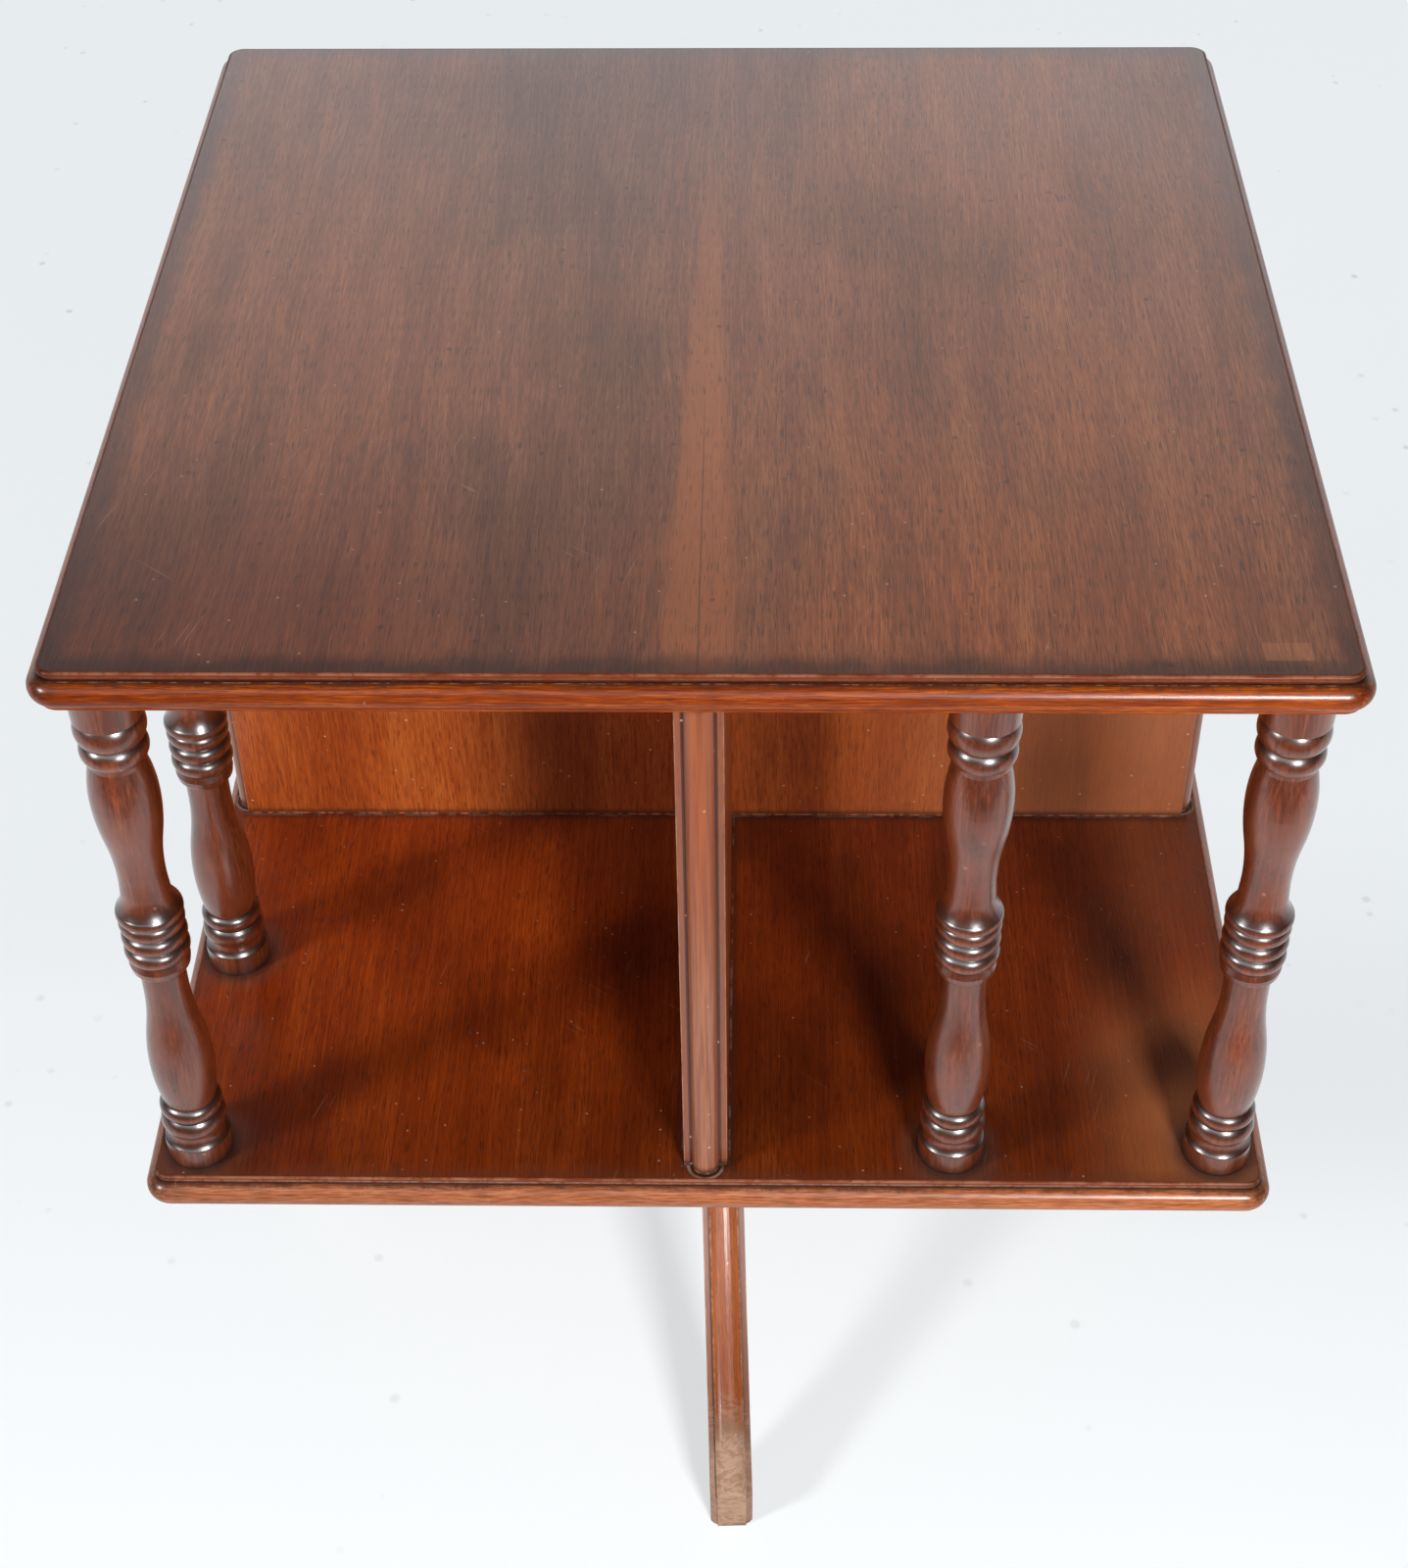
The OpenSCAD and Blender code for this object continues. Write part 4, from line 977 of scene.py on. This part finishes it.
def dressAll():
    dress(topVeneer(), "top_veneer_left", "top_veneer_right")
    for board, (under, dusty, seed) in seeds["lippings"].items():
        for way, (step, sides) in seeds["lippingWays"].items():
            material = lipping(board + "_lipping_" + way, way == "x", table[under], dusty, seed + step)
            dress(material, *[board + "_edge_" + side for side in sides])
    dress(shelfVeneer(), "shelf_veneer")
    dress(divider("cross_divider_polish", 31.0), "cross_divider")
    dress(divider("half_divider_polish", 34.0), "front_divider", "back_divider")
    spindles = sorted(name for name in nodes if name.startswith("spindle_"))
    first, step = seeds["spindles"]
    for number, name in enumerate(spindles):
        dress(spindle(name + "_polish", first + step * number), name)
    # quarters of a turn from +X round to each leg
    first, step = seeds["legs"]
    for quarter, name in enumerate(("right_leg", "back_leg", "left_leg", "front_leg")):
        dress(leg(name + "_polish", quarter, first + step * quarter), name)
    dress(pillarWood(), "pillar")
    dress(coreWood("core_top", 61.0, 0.0), "top_panel")
    dress(coreWood("core_shelf", 64.0, 0.0), "shelf_panel")
    dress(coreWood("block_stain", 67.0, 1.0), "turning_block")
    steel = metal("turned_steel")
    dress(steel, "block_screws", "pivot_spindle", "flange_screws", "retaining_washer", "retaining_nut")
    dress(metal("pivot_brass"), "thrust_ring", "upper_bush", "lower_bush")
    dress(metal("black_iron"), "dovetail_plate", "plate_screws")
    print("finishes are on")


# camera, floor and light
studio = {
    "cameraPlace": (0.0221, -0.9935, 1.2278),
    "cameraTilt": (47.484, 0.614, 0.985),
    "lens": 60.11,
    "sensor": 36,
    "floorColor": (0.86, 0.895, 0.915),
    "floorDirt": (0.4, 0.41, 0.42),
    "floorRough": 0.9,
    "floorSpecular": 0.1,
    # how much of the floor's look is plain colour, near the table and far from it
    "floorPlain": (0.56, 0.9),
    "floorBehind": (-0.05, 0.35),
    "floorFar": (1.0, 1.8),
    "floorHalf": 30.0,
    "dirtSpecks": (0.02, 0.16, 5.0),
    "dirtNoise": ((0.2, 0.2, 1), 6.0),
    "dirtEdge": (0.42, 0.6),
    "dirtShare": 0.4,
    "paperEdge": (-0.95, -0.7),
    "paperShare": (0.05, 1.0),
    "worldColor": (0.97, 1.0, 1.04),
    "worldLight": 0.19,
    "backdrop": (0.86, 0.9, 0.93),
    "roomDim": (0.05, 0.052, 0.055),
    "roomBright": (2.15, 2.22, 2.32),
    "roomBehind": (0.1, 0.5),
    # brightness of the room by the height of the reflected ray
    "roomHeights": [(0.0, (1, 1, 1)), (0.4, (1, 1, 1)), (0.52, (0.42, 0.42, 0.42)), (0.63, (0, 0, 0))],
    "wall": (3.0, 3.1, 3.2),
    "wallFoot": (0.34, 0.46),
    "wallHead": (0.82, 0.66),
    "wallLeft": (-1.35, -0.95),
    "wallRight": (0.75, 0.35),
    "lamps": {
        "left_box": {"place": (-1.73, -1.2, 1.3), "size": (0.32, 0.4), "power": 38},
        "right_box": {"place": (0.58, -1.65, 1.12), "size": (0.34, 0.3), "power": 43},
    },
    "lampAim": (0, 0, 0.4),
}


def setUp(name, data):
    thing = bpy.data.objects.new(name, data)
    bpy.context.scene.collection.objects.link(thing)
    return thing


def setCamera():
    data = bpy.data.cameras.new("camera")
    data.lens = studio["lens"]
    data.sensor_width = studio["sensor"]
    camera = setUp("camera", data)
    camera.location = studio["cameraPlace"]
    camera.rotation_euler = Euler([math.radians(angle) for angle in studio["cameraTilt"]])
    bpy.context.scene.camera = camera
    print("camera is set")


def layFloor():
    half = studio["floorHalf"]
    mesh = bpy.data.meshes.new("floor")
    corners = [(-half, -half, 0), (half, -half, 0), (half, half, 0), (-half, half, 0)]
    mesh.from_pydata(corners, [], [(0, 1, 2, 3)])
    floor = setUp("floor", mesh)
    material, shader = surface("floor_paper")
    feed(shader.inputs["Base Color"], studio["floorColor"])
    shader.inputs["Roughness"].default_value = studio["floorRough"]
    shader.inputs["Specular IOR Level"].default_value = studio["floorSpecular"]
    # what the camera and reflections see of the floor is mostly its plain colour
    plain = place("Emission")
    path = place("LightPath")
    # the white paper ends in front of the table, and only reflections reach that far
    x, y, z = axes()
    flat = join(x, y, 0.0)
    paper = span(ease(y, *studio["paperEdge"]), *studio["paperShare"])
    mirrored = tint(paper, (0, 0, 0), studio["floorColor"])
    # a few specks of dirt lie on it
    dirty = ease(mottle(flat, *studio["dirtNoise"]), *studio["dirtEdge"])
    dirt = times(specks(flat, *studio["dirtSpecks"]), dirty)
    paperColor = tint(times(dirt, studio["dirtShare"]), studio["floorColor"], studio["floorDirt"])
    feed(plain.inputs["Color"], tint(path.outputs["Is Glossy Ray"], paperColor, mirrored))
    away = place("VectorMath", flat, operation="LENGTH").outputs["Value"]
    distant = most(ease(y, *studio["floorBehind"]), ease(away, *studio["floorFar"]))
    share = span(distant, *studio["floorPlain"])
    seen = most(path.outputs["Is Camera Ray"], path.outputs["Is Transmission Ray"])
    share = most(times(seen, share), path.outputs["Is Glossy Ray"])
    result = blend(share, shader.outputs[0], plain.outputs[0])
    feed(material.node_tree.nodes["Material Output"].inputs[0], result)
    mesh.materials.append(material)
    print("floor is laid")


def hangLamps():
    for name, lamp in studio["lamps"].items():
        data = bpy.data.lights.new(name, "AREA")
        data.shape = "RECTANGLE"
        data.size, data.size_y = lamp["size"]
        data.energy = lamp["power"]
        box = setUp(name, data)
        box.location = lamp["place"]
        toward = Vector(studio["lampAim"]) - Vector(lamp["place"])
        box.rotation_euler = toward.to_track_quat("-Z", "Y").to_euler()
    print("lamps are hung")


def background(color, strength=1.0):
    return place("Background", Color=color, Strength=strength).outputs[0]


def setWorld():
    world = bpy.data.worlds.new("studio")
    bpy.context.scene.world = world
    world.use_nodes = True
    world.node_tree.nodes.clear()
    bench["tree"] = world.node_tree
    x, y, z = place("SeparateXYZ", place("TexCoord").outputs["Generated"]).outputs
    # reflections see a dim room that is bright low down behind the table
    low = shades(z, studio["roomHeights"])
    behind = ease(y, *studio["roomBehind"])
    room = tint(times(behind, low), studio["roomDim"], studio["roomBright"])
    # and a pale wall between the two lamps in front of it
    bearing = calc("ARCTAN2", x, times(y, -1.0))
    wall = times(ease(z, *studio["wallFoot"]), ease(z, *studio["wallHead"]),
                 ease(bearing, *studio["wallLeft"]), ease(bearing, *studio["wallRight"]))
    room = tint(wall, room, studio["wall"])
    path = place("LightPath")
    light = background(studio["worldColor"], studio["worldLight"])
    light = blend(path.outputs["Is Glossy Ray"], light, background(room))
    seen = most(path.outputs["Is Camera Ray"], path.outputs["Is Transmission Ray"])
    view = blend(seen, light, background(studio["backdrop"]))
    feed(place("OutputWorld").inputs[0], view)
    bpy.context.scene.view_settings.view_transform = "Standard"
    print("world is set")


dressAll()
setCamera()
layFloor()
hangLamps()
setWorld()
